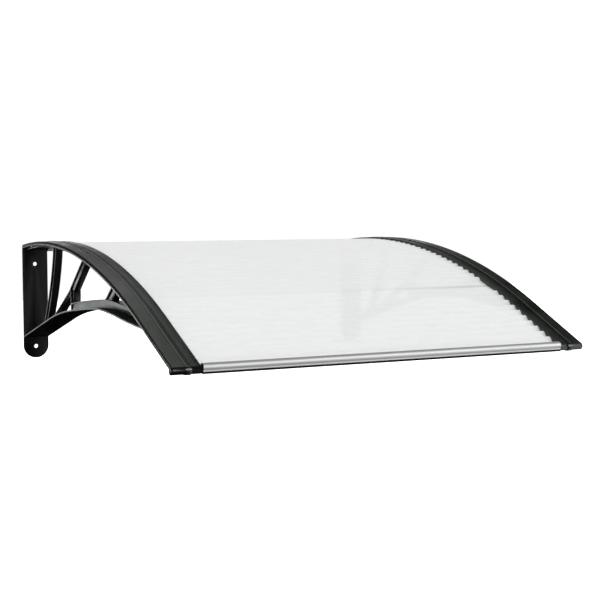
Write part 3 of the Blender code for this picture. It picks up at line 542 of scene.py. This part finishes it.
def wave(run):
    """Height of the sheet's wave: a flat band at the hollows' level ends in a small V, the fold."""
    back = FOLD_RUN - FOLD_BAND
    if back < run < FOLD_RUN:
        half = WAVE_PITCH / 6
        return -WAVE_HEIGHT / 2 + FOLD_DEPTH * max(0.0, 1.0 - abs(FOLD_RUN - half - run) / half)
    phase = min(abs(run - FOLD_RUN), abs(run - back)) / WAVE_PITCH
    return -WAVE_HEIGHT / 2 * math.cos(2 * math.pi * phase)


def fine_runs(start, end):
    """Evenly spaced runs that also hit both ends of the flat band and its fold."""
    step = WAVE_PITCH / FINE_STEPS
    back = FOLD_RUN - FOLD_BAND
    fold = FOLD_RUN - WAVE_PITCH / 6
    runs = [back - step * i for i in range(int((back - start) / step) + 1)][::-1]
    runs += [fold - WAVE_PITCH / 6, fold - WAVE_PITCH / 12, fold, fold + WAVE_PITCH / 12]
    runs += [FOLD_RUN + step * i for i in range(int((end - FOLD_RUN) / step) + 1)]
    inner = [run for run in runs if start + step / 3 < run < end - step / 3]
    return [start] + inner + [end]


# Mesh helpers

# Corners nearer than these are merged, or count as lying on a cut
MERGE_REACH = 0.000001
SOLID_MERGE_REACH = 0.000002
CUT_REACH = 0.0000001


def piece(work, name, look, slot, *nodes, smooth=30):
    """Turn a finished bmesh into a shown piece that stands for CAD nodes and rides on the body."""
    bmesh.ops.remove_doubles(work, verts=work.verts, dist=MERGE_REACH)
    bmesh.ops.recalc_face_normals(work, faces=work.faces)
    for vert in work.verts:
        for axis in range(3):
            vert.co[axis] = min(max(vert.co[axis], CAD_BOX[0][axis]), CAD_BOX[1][axis])
    mesh = bpy.data.meshes.new(name)
    work.to_mesh(mesh)
    work.free()
    made = bpy.data.objects.new(name, mesh)
    bpy.context.scene.collection.objects.link(made)
    mesh.materials.append(look)
    mesh.shade_smooth()
    mesh.set_sharp_from_angle(angle=math.radians(smooth))
    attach(made, BODY)
    if nodes:
        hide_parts(*nodes)
    return made


def sweep(work, runs, section):
    """Sweep an (x, height) section along the roof into the bmesh, with closed ends."""
    rings = []
    for run in runs:
        ring = []
        for x, height in section(run):
            y, z = roof_point(run, height)
            ring.append(work.verts.new((x, y, z)))
        rings.append(ring)
    count = len(rings[0])
    for first, second in zip(rings, rings[1:]):
        for i in range(count):
            j = (i + 1) % count
            work.faces.new((first[i], first[j], second[j], second[i]))
    work.faces.new(rings[0])
    work.faces.new(rings[-1])


def rounded(work, width, segments=2, angle=30):
    """Round every edge that is sharper than the angle."""
    limit = math.radians(angle)
    sharp = [edge for edge in work.edges
             if len(edge.link_faces) == 2 and edge.calc_face_angle(0.0) > limit]
    bmesh.ops.bevel(work, geom=sharp, offset=width, offset_type="OFFSET", segments=segments, profile=0.5,
                    affect="EDGES", clamp_overlap=True, material=-1)


def soft_corner(path, index, radius, steps=4):
    """Points that round the corner at index of an open (x, height) path."""
    before, corner, after = (Vector(path[i]) for i in (index - 1, index, index + 1))
    start = corner + (before - corner).normalized() * radius
    end = corner + (after - corner).normalized() * radius
    points = []
    for i in range(steps + 1):
        t = i / steps
        points.append(tuple((1 - t) ** 2 * start + 2 * t * (1 - t) * corner + t * t * end))
    return points


def turned(work, profile, start, direction, sides):
    """Turn a closed (radius, height) profile round an axis that leaves start in this direction."""
    before = set(work.verts)
    fresh = [work.verts.new((radius, 0, height)) for radius, height in profile]
    edges = [work.edges.new(pair) for pair in zip(fresh, fresh[1:] + fresh[:1])]
    bmesh.ops.spin(work, geom=fresh + edges, cent=(0, 0, 0), axis=(0, 0, 1), dvec=(0, 0, 0),
                   angle=2 * math.pi, steps=sides, use_merge=True, use_duplicate=False)
    made = [vert for vert in work.verts if vert not in before]
    bmesh.ops.remove_doubles(work, verts=made, dist=MERGE_REACH)
    made = [vert for vert in work.verts if vert not in before]
    turn = Vector((0, 0, 1)).rotation_difference(direction).to_matrix()
    bmesh.ops.rotate(work, verts=made, cent=(0, 0, 0), matrix=turn)
    bmesh.ops.translate(work, verts=made, vec=start)


def filled_block(work, loops, direction):
    """Fill flat loops, the inner ones as holes, and draw the area out into a closed block."""
    edges = []
    for loop in loops:
        ring = [work.verts.new(point) for point in loop]
        edges += [work.edges.new((ring[i - 1], ring[i])) for i in range(len(ring))]
    area = bmesh.ops.triangle_fill(work, use_beauty=True, use_dissolve=False, edges=edges)
    faces = [item for item in area["geom"] if isinstance(item, bmesh.types.BMFace)]
    grown = bmesh.ops.extrude_face_region(work, geom=faces)
    moved = [item for item in grown["geom"] if isinstance(item, bmesh.types.BMVert)]
    bmesh.ops.translate(work, verts=moved, vec=direction)


def strip_screw_runs():
    pitch = (LAST_SCREW_RUN - FIRST_SCREW_RUN) / (STRIP_SCREWS - 1)
    return [FIRST_SCREW_RUN + pitch * i for i in range(STRIP_SCREWS)]


def roof_normal(run):
    angle = roof_angle(run)
    return Vector((0, -math.sin(angle), math.cos(angle)))


def colour_setting(name, description, default):
    return bpy.props.FloatVectorProperty(name=name, description=description, default=default,
                                         subtype="COLOR", min=0.0, max=1.0)


class CanopyFinishSettings(bpy.types.PropertyGroup):
    sheet: colour_setting("Sheet", "Tint of the clear sheet", (0.905, 0.91, 0.91))
    sheet_haze: colour_setting("Sheet haze", "Tint where the sheet is hazier", (0.925, 0.93, 0.93))
    plastic: colour_setting("Plastic", "Brackets and nose clips", (0.002, 0.0022, 0.0020))
    strip_grain: colour_setting("Strip grain", "Grain of the cover strips", (0.021, 0.030, 0.021))
    seal: colour_setting("Seals", "Rubber of the seals and gaskets", (0.003, 0.003, 0.003))
    metal: colour_setting("Metal", "Front bar and wall rail", (0.70, 0.71, 0.70))
    screw: colour_setting("Screws", "Zinc plating of the screws", (0.62, 0.63, 0.66))
    bracket_round: bpy.props.FloatProperty(
        name="Bracket edges", description="How far the brackets' edges are rounded",
        default=BRACKET_EDGE_ROUND, unit="LENGTH")
    clip_round: bpy.props.FloatProperty(
        name="Clip edges", description="How far the nose clips' edges are rounded",
        default=CLIP_EDGE_ROUND, unit="LENGTH")


class CANOPY_OT_sheet(bpy.types.Operator):
    """Build the thin waved sheet with its flat band and fold"""
    bl_idname = "canopy.sheet"
    bl_label = "Build the clear sheet"

    def execute(self, context):
        half = WIDTH / 2 - SHEET_INSET
        waist = WIDTH / 2 - BRACKET_WIDTH - 2 * GAP
        work = bmesh.new()
        layers = []
        runs = fine_runs(SHEET_START, NOSE_RUN)
        corner = NOSE_Y + NOSE_RADIUS + 2 * GAP
        for lift in (SHEET_WALL / 2, -SHEET_WALL / 2):
            rows = []
            for run in runs:
                y, z = roof_point(run, SHEET_MEAN + wave(run) + lift)
                columns = (-half, -waist, waist, half)
                rows.append([work.verts.new((x, y, z)) for x in columns])
            layers.append(rows)
        for rows in layers:
            for first, second in zip(rows, rows[1:]):
                sides = second[0].co.y >= corner
                for i in range(3):
                    if i == 1 or sides:
                        work.faces.new((first[i], first[i + 1], second[i + 1], second[i]))
        partner = {}
        for top_row, low_row in zip(*layers):
            partner.update(zip(top_row, low_row))
        rims = [edge for edge in work.edges if edge.is_boundary]
        for edge in rims:
            a, b = edge.verts
            if a in partner and b in partner:
                work.faces.new((a, b, partner[b], partner[a]))
        loose = [vert for vert in work.verts if not vert.link_faces]
        bmesh.ops.delete(work, geom=loose, context="VERTS")
        look = sheet_material(context.scene.canopy_finish)
        piece(work, "clear_sheet", look, "clear_polycarbonate", "roof_sheet", smooth=40)
        return {"FINISHED"}


class CANOPY_OT_strips(bpy.types.Operator):
    """Build the two cover strips with rounded edges, ridge, groove and waved lip"""
    bl_idname = "canopy.strips"
    bl_label = "Build the cover strips"

    def execute(self, context):
        look = strip_plastic(context.scene.canopy_finish)
        for side, word in SIDES:
            self.build(side, "cover_strip_" + word, look)
        return {"FINISHED"}

    def build(self, side, node, look):
        top, under, skirt = STRIP_TOP, STRIP_UNDER, STRIP_TOP - STRIP_SKIRT
        ridge_start = RIDGE_INSET - RIDGE_WIDTH / 2
        ridge_end = RIDGE_INSET + RIDGE_WIDTH / 2
        groove = ridge_end + GROOVE_FLANK
        groove_end = groove + GROOVE_WIDTH
        corners = [
            (0.0, skirt), (STRIP_LEAN, top), (ridge_start - GROOVE_FLANK, top),
            (ridge_start, top + RIDGE_HEIGHT), (ridge_end, top + RIDGE_HEIGHT),
            (groove, top - GROOVE_DEPTH), (groove_end - GROOVE_FLANK, top - GROOVE_DEPTH),
            (groove_end, top), (STRIP_WIDTH, top), (STRIP_WIDTH, under),
            (SKIRT_WALL, under), (SKIRT_WALL, skirt),
        ]
        # The corners that are rounded, with each one's reach and number of steps
        softened = {1: (STRIP_EDGE_ROUND, 5), 3: (RIDGE_ROUND, 2), 4: (RIDGE_ROUND, 2),
                    8: (LIP_EDGE_ROUND, 2)}
        outline = []
        for i, corner in enumerate(corners):
            if i in softened:
                outline += soft_corner(corners, i, *softened[i])
            else:
                outline.append(corner)
        section = [(across(side, inset), height) for inset, height in outline]
        low_y, high_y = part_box(node)[0][1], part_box(node)[1][1]
        end = along(low_y + STRIP_END_BACK)
        runs = [end * i / STRIP_STEPS for i in range(STRIP_STEPS + 1)]
        work = bmesh.new()
        sweep(work, runs, lambda run: section)
        far = across(side, STRIP_WIDTH - LIP_SETBACK)
        near = across(side, STRIP_WIDTH - LIP_SETBACK - LIP_WALL)

        def lip_section(run):
            low = SHEET_MEAN + SHEET_WALL / 2 + GAP + wave(run)
            middle = (top + under) / 2
            return [(near, low), (far, low), (far, middle), (near, middle)]

        sweep(work, fine_runs(SHEET_START, SHEET_SIDE_END + LIP_OVERRUN), lip_section)
        bmesh.ops.bisect_plane(work, geom=work.verts[:] + work.edges[:] + work.faces[:], dist=CUT_REACH,
                               plane_co=(0, high_y, 0), plane_no=(0, 1, 0), clear_outer=True)
        bmesh.ops.holes_fill(work, edges=[edge for edge in work.edges if edge.is_boundary])
        foot = SHELF_TOP + GAP
        height = (top + under) / 2 - foot
        bore = STRIP_SCREW_RADIUS + SCREW_PLAY
        boss = [(BOSS_RADIUS, 0.0), (BOSS_RADIUS, height), (bore, height), (bore, 0.0)]
        for run in strip_screw_runs():
            start = Vector((across(side, BOSS_INSET), *roof_point(run, foot)))
            turned(work, boss, start, roof_normal(run), BOSS_SIDES)
        piece(work, "strip_" + node.rsplit("_", 1)[1], look, "grained_black_plastic", node)


class CANOPY_OT_brackets(bpy.types.Operator):
    """Build the brackets and nose clips with softly rounded edges"""
    bl_idname = "canopy.brackets"
    bl_label = "Round the brackets"

    def execute(self, context):
        settings = context.scene.canopy_finish
        for side, word in SIDES:
            for node, width in (("bracket_" + word, settings.bracket_round),
                                ("nose_clip_" + word, settings.clip_round)):
                work = bmesh.new()
                work.from_mesh(NODES[node].data)
                bmesh.ops.remove_doubles(work, verts=work.verts, dist=SOLID_MERGE_REACH)
                bmesh.ops.dissolve_limit(work, angle_limit=FLAT_ANGLE, verts=work.verts,
                                         edges=work.edges)
                rounded(work, width)
                piece(work, node + "_moulding", black_plastic(settings), "black_plastic", node)
        return {"FINISHED"}


class CANOPY_OT_bar(bpy.types.Operator):
    """Build the front bar as a smoothly rounded extrusion with its open jaw and closed chamber"""
    bl_idname = "canopy.bar"
    bl_label = "Build the front bar"

    def execute(self, context):
        mouth = NOSE_RUN + BAR_MOUTH
        jaw = SHEET_TROUGH - GAP
        jaw_rear = NOSE_RUN - BAR_JAW_REACH
        foot_y = BAR_Y - BAR_FOOT
        outline = self.round(BAR_RADIUS, STRIP_UNDER, BAR_FOOT, BAR_STEPS)
        outline += [(foot_y, BAR_BOTTOM + BAR_EDGE), (foot_y + BAR_EDGE, BAR_BOTTOM)]
        outline += [self.slope_meets(jaw - BAR_WALL, BAR_BOTTOM), roof_point(jaw_rear, jaw - BAR_WALL)]
        outline += [roof_point(jaw_rear, jaw), roof_point(mouth, jaw), roof_point(mouth, STRIP_UNDER)]
        inner = BAR_RADIUS - BAR_WALL
        floor = BAR_BOTTOM + BAR_WALL
        hollow = self.round(inner, STRIP_UNDER + BAR_WALL, BAR_FOOT - BAR_WALL, CHAMBER_STEPS)
        hollow += [(foot_y + BAR_WALL, floor), self.slope_meets(jaw, floor)]
        hollow += [roof_point(mouth + BAR_WALL, jaw), roof_point(mouth + BAR_WALL, STRIP_UNDER + BAR_WALL)]
        reach = WIDTH / 2 - BRACKET_WIDTH - GAP
        loops = [[(-reach, y, z) for y, z in loop] for loop in (outline, hollow)]
        work = bmesh.new()
        filled_block(work, loops, (2 * reach, 0, 0))
        look = aluminium(context.scene.canopy_finish)
        piece(work, "bar_extrusion", look, "satin_aluminium", "front_bar")
        return {"FINISHED"}

    def round(self, radius, height, foot, steps):
        """Points over the bar's round top and front, from the jaw's height down to the foot."""
        axis_height = -NOSE_DROP + BAR_ABOVE * math.cos(FRONT_SLOPE) + BAR_AHEAD * math.sin(FRONT_SLOPE)
        start = FRONT_SLOPE - math.acos((height - axis_height) / radius)
        end = math.pi - math.asin(foot / radius)
        turns = [start + (end - start) * i / steps for i in range(steps + 1)]
        return [(BAR_Y - radius * math.sin(turn), BAR_Z + radius * math.cos(turn)) for turn in turns]

    def slope_meets(self, height, z):
        y, start = roof_point(NOSE_RUN, height)
        return y + (z - start) / math.tan(FRONT_SLOPE), z


class CANOPY_OT_screws(bpy.types.Operator):
    """Build the pan-head screws with a slot and a cut thread"""
    bl_idname = "canopy.screws"
    bl_label = "Build the screws"

    def execute(self, context):
        look = zinc(context.scene.canopy_finish)
        for name in NODES:
            if "screw" in name:
                self.build(name, look)
        return {"FINISHED"}

    def build(self, name, look):
        low, high = (Vector(corner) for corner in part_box(name))
        middle = (low + high) / 2
        if name.startswith("strip"):
            run = strip_screw_runs()[int(name[-1]) - 1]
            axis, radius = roof_normal(run), STRIP_SCREW_RADIUS
            tip = Vector((middle.x, *roof_point(run, SHELF_TOP - SHELF_WALL - GAP - SCREW_HEAD_HEIGHT)))
            length = STRIP_TOP - BOSS_SKIN - SHELF_TOP + SHELF_WALL + SCREW_HEAD_HEIGHT
        elif name.startswith("bar"):
            axis, radius = Vector((0, 0, 1)), END_SCREW_RADIUS
            tip, length = Vector((middle.x, middle.y, low.z)), high.z - low.z
        else:
            axis, radius = Vector((0, 1, 0)), END_SCREW_RADIUS
            tip, length = Vector((middle.x, low.y, middle.z)), high.y - low.y
        head = radius * HEAD_PER_SHANK
        work = bmesh.new()
        self.head(work, head)
        self.shank(work, radius, SCREW_HEAD_HEIGHT * HEAD_OVERLAP_SHARE, length)
        turn = Vector((0, 0, 1)).rotation_difference(axis).to_matrix()
        bmesh.ops.rotate(work, verts=work.verts, cent=(0, 0, 0), matrix=turn)
        bmesh.ops.translate(work, verts=work.verts, vec=tip)
        piece(work, name + "_fine", look, "zinc_plated_steel", name, smooth=40)

    def head(self, work, head):
        """Domed head with a straight slot, its flat side towards the shank."""
        slot_half = SCREW_SLOT_WIDTH / 2
        slot_reach = head * SLOT_REACH_SHARE
        rim = head * HEAD_FACE_SHARE
        top = self.circle(rim, 0.0)
        slot = [(slot_reach, slot_half, 0), (-slot_reach, slot_half, 0),
                (-slot_reach, -slot_half, 0), (slot_reach, -slot_half, 0)]
        edges, loops = [], []
        for points in (top, slot):
            loop = [work.verts.new(point) for point in points]
            loops.append(loop)
            edges += [work.edges.new((loop[i - 1], loop[i])) for i in range(len(loop))]
        bmesh.ops.triangle_fill(work, use_beauty=True, use_dissolve=False, edges=edges)
        deep = [work.verts.new((x, y, SCREW_SLOT_DEPTH)) for x, y, _ in slot]
        for i in range(4):
            work.faces.new((loops[1][i - 1], loops[1][i], deep[i], deep[i - 1]))
        work.faces.new(deep)
        last = loops[0]
        for k in range(1, HEAD_RINGS + 1):
            turn = math.pi / 2 * k / HEAD_RINGS
            radius = rim + (head - rim) * math.sin(turn)
            height = SCREW_HEAD_HEIGHT * HEAD_DOME_SHARE * (1 - math.cos(turn))
            last = self.joined(work, last, self.circle(radius, height))
        last = self.joined(work, last, self.circle(head, SCREW_HEAD_HEIGHT))
        work.faces.new(last)

    def circle(self, radius, height):
        turns = [2 * math.pi * i / SCREW_SIDES for i in range(SCREW_SIDES)]
        return [(radius * math.cos(turn), radius * math.sin(turn), height) for turn in turns]

    def joined(self, work, last, points):
        """Add a ring of points and join it to the last ring. Gives the new ring."""
        fresh = [work.verts.new(point) for point in points]
        for i in range(len(fresh)):
            work.faces.new((last[i - 1], last[i], fresh[i], fresh[i - 1]))
        return fresh

    def shank(self, work, radius, start, end):
        """Shank whose surface rises and falls along a helix, with a blunt point."""
        steps = int((end - start) / THREAD_PITCH * THREAD_STEPS)
        last = None
        for k in range(steps + 1):
            height = start + (end - start) * k / steps
            taper = min(1.0, POINT_SHARE + (end - height) / (radius * POINT_LENGTH_PER_RADIUS))
            points = []
            for i in range(SHANK_SIDES):
                phase = (height / THREAD_PITCH - i / SHANK_SIDES) % 1.0
                depth = THREAD_DEPTH_PER_RADIUS * radius * abs(2 * phase - 1) ** THREAD_SHARPNESS
                turn = 2 * math.pi * i / SHANK_SIDES
                reach = (radius - depth) * taper
                points.append((reach * math.cos(turn), reach * math.sin(turn), height))
            if last:
                last = self.joined(work, last, points)
            else:
                last = [work.verts.new(point) for point in points]
                work.faces.new(last)
        work.faces.new(last)


class CanopyStageSettings(bpy.types.PropertyGroup):
    floor_drop: bpy.props.FloatProperty(
        name="Floor drop", description="How far the floor lies below the wall plates' top",
        default=2.2, unit="LENGTH")
    soft_strength: bpy.props.FloatProperty(
        name="Soft light", description="Even light from all round on matt surfaces", default=0.99)
    rear_glow: bpy.props.FloatProperty(
        name="Rear glow", description="Brightness of the rear of the studio as glossy surfaces mirror it",
        default=2.20)
    side_strength: bpy.props.FloatProperty(
        name="Side light", description="Power of the low light behind the left side", default=32.0,
        unit="POWER")
    front_strength: bpy.props.FloatProperty(
        name="Front light", description="Power of the softbox in front", default=72.0, unit="POWER")


class CANOPY_OT_finishes(bpy.types.Operator):
    """Give every kept node its finish"""
    bl_idname = "canopy.finishes"
    bl_label = "Finish the kept pieces"

    def execute(self, context):
        settings = context.scene.canopy_finish
        for name in NODES:
            if name == "wall_rail":
                dress(name, aluminium(settings))
            elif name.startswith(("gasket", "front_seal", "wall_seal")):
                dress(name, rubber(settings))
        return {"FINISHED"}


def area_light(name, place_at, look_at, size, power, colour=(1, 1, 1)):
    """A soft light that only shows as a gleam on glossy surfaces."""
    data = bpy.data.lights.new(name, "AREA")
    data.shape = "RECTANGLE"
    data.size, data.size_y = size
    data.energy = power
    data.color = colour
    lamp = bpy.data.objects.new(name, data)
    bpy.context.scene.collection.objects.link(lamp)
    lamp.location = place_at
    lamp.visible_camera = False
    lamp.visible_diffuse = False
    lamp.rotation_euler = (Vector(look_at) - Vector(place_at)).to_track_quat("-Z", "Y").to_euler()


def pale_floor(drop):
    """A wide pale floor that casts no light of its own on the canopy."""
    work = bmesh.new()
    bmesh.ops.create_grid(work, x_segments=1, y_segments=1, size=FLOOR_HALF)
    mesh = bpy.data.meshes.new("floor")
    work.to_mesh(mesh)
    work.free()
    floor = bpy.data.objects.new("floor", mesh)
    floor.location = (0, 0, -drop)
    bpy.context.scene.collection.objects.link(floor)
    made, _, shader = new_material("pale_floor")
    shader.inputs["Base Color"].default_value = (0.95, 0.95, 0.95, 1)
    shader.inputs["Roughness"].default_value = 0.8
    shader.inputs["Emission Color"].default_value = (1, 1, 1, 1)
    shader.inputs["Emission Strength"].default_value = 1.0
    mesh.materials.append(made)
    floor.visible_glossy = False
    floor.visible_diffuse = False
    return floor


def backdrop(tree, strength, shade=1.0):
    node = tree.nodes.new("ShaderNodeBackground")
    node.inputs["Color"].default_value = (shade, shade, shade, 1)
    feed(tree, node.inputs["Strength"], strength)
    return node.outputs[0]


def mix_light(tree, factor, first, second):
    node = tree.nodes.new("ShaderNodeMixShader")
    for socket, value in zip(node.inputs, (factor, first, second)):
        tree.links.new(value, socket)
    return node.outputs[0]


def mirrored_glow(tree, rear_glow):
    """Brightness of each direction as glossy surfaces mirror it: rear, right, and low on the right."""
    axes = axes_of(tree, tree.nodes.new("ShaderNodeTexCoord").outputs["Generated"])
    x, y, z = axes["X"], axes["Y"], axes["Z"]
    high = maths(tree, "MULTIPLY", ramp(tree, x, 0.35, 0.50, 1.25, 0.03), ramp(tree, z, 0.32, 0.78))
    glow = maths(tree, "ADD", ramp(tree, z, 0.03, 0.36, rear_glow, 0.0), high)
    for factor in (ramp(tree, y, 0.10, 0.55, 0.02), ramp(tree, x, -0.30, 0.10), ramp(tree, z, -0.10, 0.02)):
        glow = maths(tree, "MULTIPLY", glow, factor)
    low = maths(tree, "MULTIPLY", ramp(tree, x, 0.47, 0.52, 0.0, 0.80), ramp(tree, z, -0.22, -0.02, 1.0, 0.0))
    glow = maths(tree, "ADD", glow, low)
    return maths(tree, "ADD", glow, ramp(tree, x, 0.80, 0.97, 0.0, 1.4))


def studio_world(settings):
    """White as seen, even on matt surfaces, and a shaped glow on glossy ones."""
    world = bpy.data.worlds.new("studio")
    world.use_nodes = True
    tree = world.node_tree
    tree.nodes.clear()
    rays = tree.nodes.new("ShaderNodeLightPath").outputs
    soft = backdrop(tree, settings.soft_strength)
    mirrored = backdrop(tree, mirrored_glow(tree, settings.rear_glow), MIRRORED_SHADE)
    around = mix_light(tree, rays["Is Glossy Ray"], soft, mirrored)
    direct = maths(tree, "MAXIMUM", rays["Is Camera Ray"], rays["Is Transmission Ray"])
    out = tree.nodes.new("ShaderNodeOutputWorld")
    tree.links.new(mix_light(tree, direct, around, backdrop(tree, SEEN_STRENGTH)), out.inputs["Surface"])
    return world


class CANOPY_OT_stage(bpy.types.Operator):
    """Build the pale floor and the soft studio light"""
    bl_idname = "canopy.stage"
    bl_label = "Build the stage"

    def execute(self, context):
        settings = context.scene.canopy_stage
        floor = pale_floor(settings.floor_drop)
        context.scene.world = studio_world(settings)
        context.scene.view_settings.view_transform = "Standard"
        bracket = (-0.48, -0.4, -0.1)
        cool = (0.94, 1.0, 0.93)
        rear_power = settings.side_strength * REAR_LIGHT_SHARE
        area_light("side_left", (-2.5, 1.9, -0.45), bracket, (1.2, 0.7), settings.side_strength, cool)
        area_light("side_rear", (-1.55, 2.6, -0.27), bracket, (0.7, 0.7), rear_power, cool)
        area_light("front_right", (1.0, -3.3, 0.85), (0, -1, -0.2), (4.2, 1.5), settings.front_strength)
        return {"FINISHED"}


# The photograph's camera, fitted to the object's edges
CAMERA_PLACE = (-1.4717, -3.3500, 0.0932)
CAMERA_YAW = 0.48702
CAMERA_PITCH = 0.067295
CAMERA_ROLL = -0.00184
CAMERA_LENS = 80.29
SENSOR = 36.0


class CANOPY_OT_camera(bpy.types.Operator):
    """Place the camera at the photograph's viewing angle"""
    bl_idname = "canopy.camera"
    bl_label = "Place the camera"

    def execute(self, context):
        data = bpy.data.cameras.new("photo_camera")
        data.lens = CAMERA_LENS
        data.sensor_width = SENSOR
        data.clip_start = 0.05
        data.clip_end = 100.0
        camera = bpy.data.objects.new("photo_camera", data)
        context.scene.collection.objects.link(camera)
        forward = Vector((math.sin(CAMERA_YAW) * math.cos(CAMERA_PITCH),
                          math.cos(CAMERA_YAW) * math.cos(CAMERA_PITCH), -math.sin(CAMERA_PITCH)))
        right = Vector((math.cos(CAMERA_YAW), -math.sin(CAMERA_YAW), 0))
        up = right.cross(forward)
        turned_right = right * math.cos(CAMERA_ROLL) + up * math.sin(CAMERA_ROLL)
        turned_up = -right * math.sin(CAMERA_ROLL) + up * math.cos(CAMERA_ROLL)
        turn = Matrix((turned_right, turned_up, -forward)).transposed().to_4x4()
        camera.matrix_world = Matrix.Translation(CAMERA_PLACE) @ turn
        context.scene.camera = camera
        return {"FINISHED"}


class CANOPY_PT_panel(bpy.types.Panel):
    """Lists the canopy's steps in the sidebar"""
    bl_idname = "CANOPY_PT_panel"
    bl_label = "Door Canopy"
    bl_space_type = "VIEW_3D"
    bl_region_type = "UI"
    bl_category = "Canopy"

    def draw(self, context):
        for operator in OPERATORS:
            self.layout.operator(operator.bl_idname)
        for name in ("sheet", "sheet_haze", "plastic", "strip_grain", "seal", "metal", "screw",
                     "bracket_round", "clip_round"):
            self.layout.prop(context.scene.canopy_finish, name)
        for name in ("floor_drop", "soft_strength", "rear_glow", "side_strength", "front_strength"):
            self.layout.prop(context.scene.canopy_stage, name)


OPERATORS = (CANOPY_OT_camera, CANOPY_OT_sheet, CANOPY_OT_strips, CANOPY_OT_brackets, CANOPY_OT_bar,
             CANOPY_OT_screws, CANOPY_OT_finishes, CANOPY_OT_stage)
CLASSES = (CanopyFinishSettings, CanopyStageSettings, *OPERATORS, CANOPY_PT_panel)


def register():
    for one in CLASSES:
        bpy.utils.register_class(one)
    bpy.types.Scene.canopy_finish = bpy.props.PointerProperty(type=CanopyFinishSettings)
    bpy.types.Scene.canopy_stage = bpy.props.PointerProperty(type=CanopyStageSettings)


def unregister():
    del bpy.types.Scene.canopy_stage
    del bpy.types.Scene.canopy_finish
    for one in reversed(CLASSES):
        bpy.utils.unregister_class(one)


def main():
    register()
    bpy.ops.canopy.camera()
    bpy.ops.canopy.sheet()
    bpy.ops.canopy.strips()
    bpy.ops.canopy.brackets()
    bpy.ops.canopy.bar()
    bpy.ops.canopy.screws()
    bpy.ops.canopy.finishes()
    bpy.ops.canopy.stage()


if __name__ == "__main__":
    main()
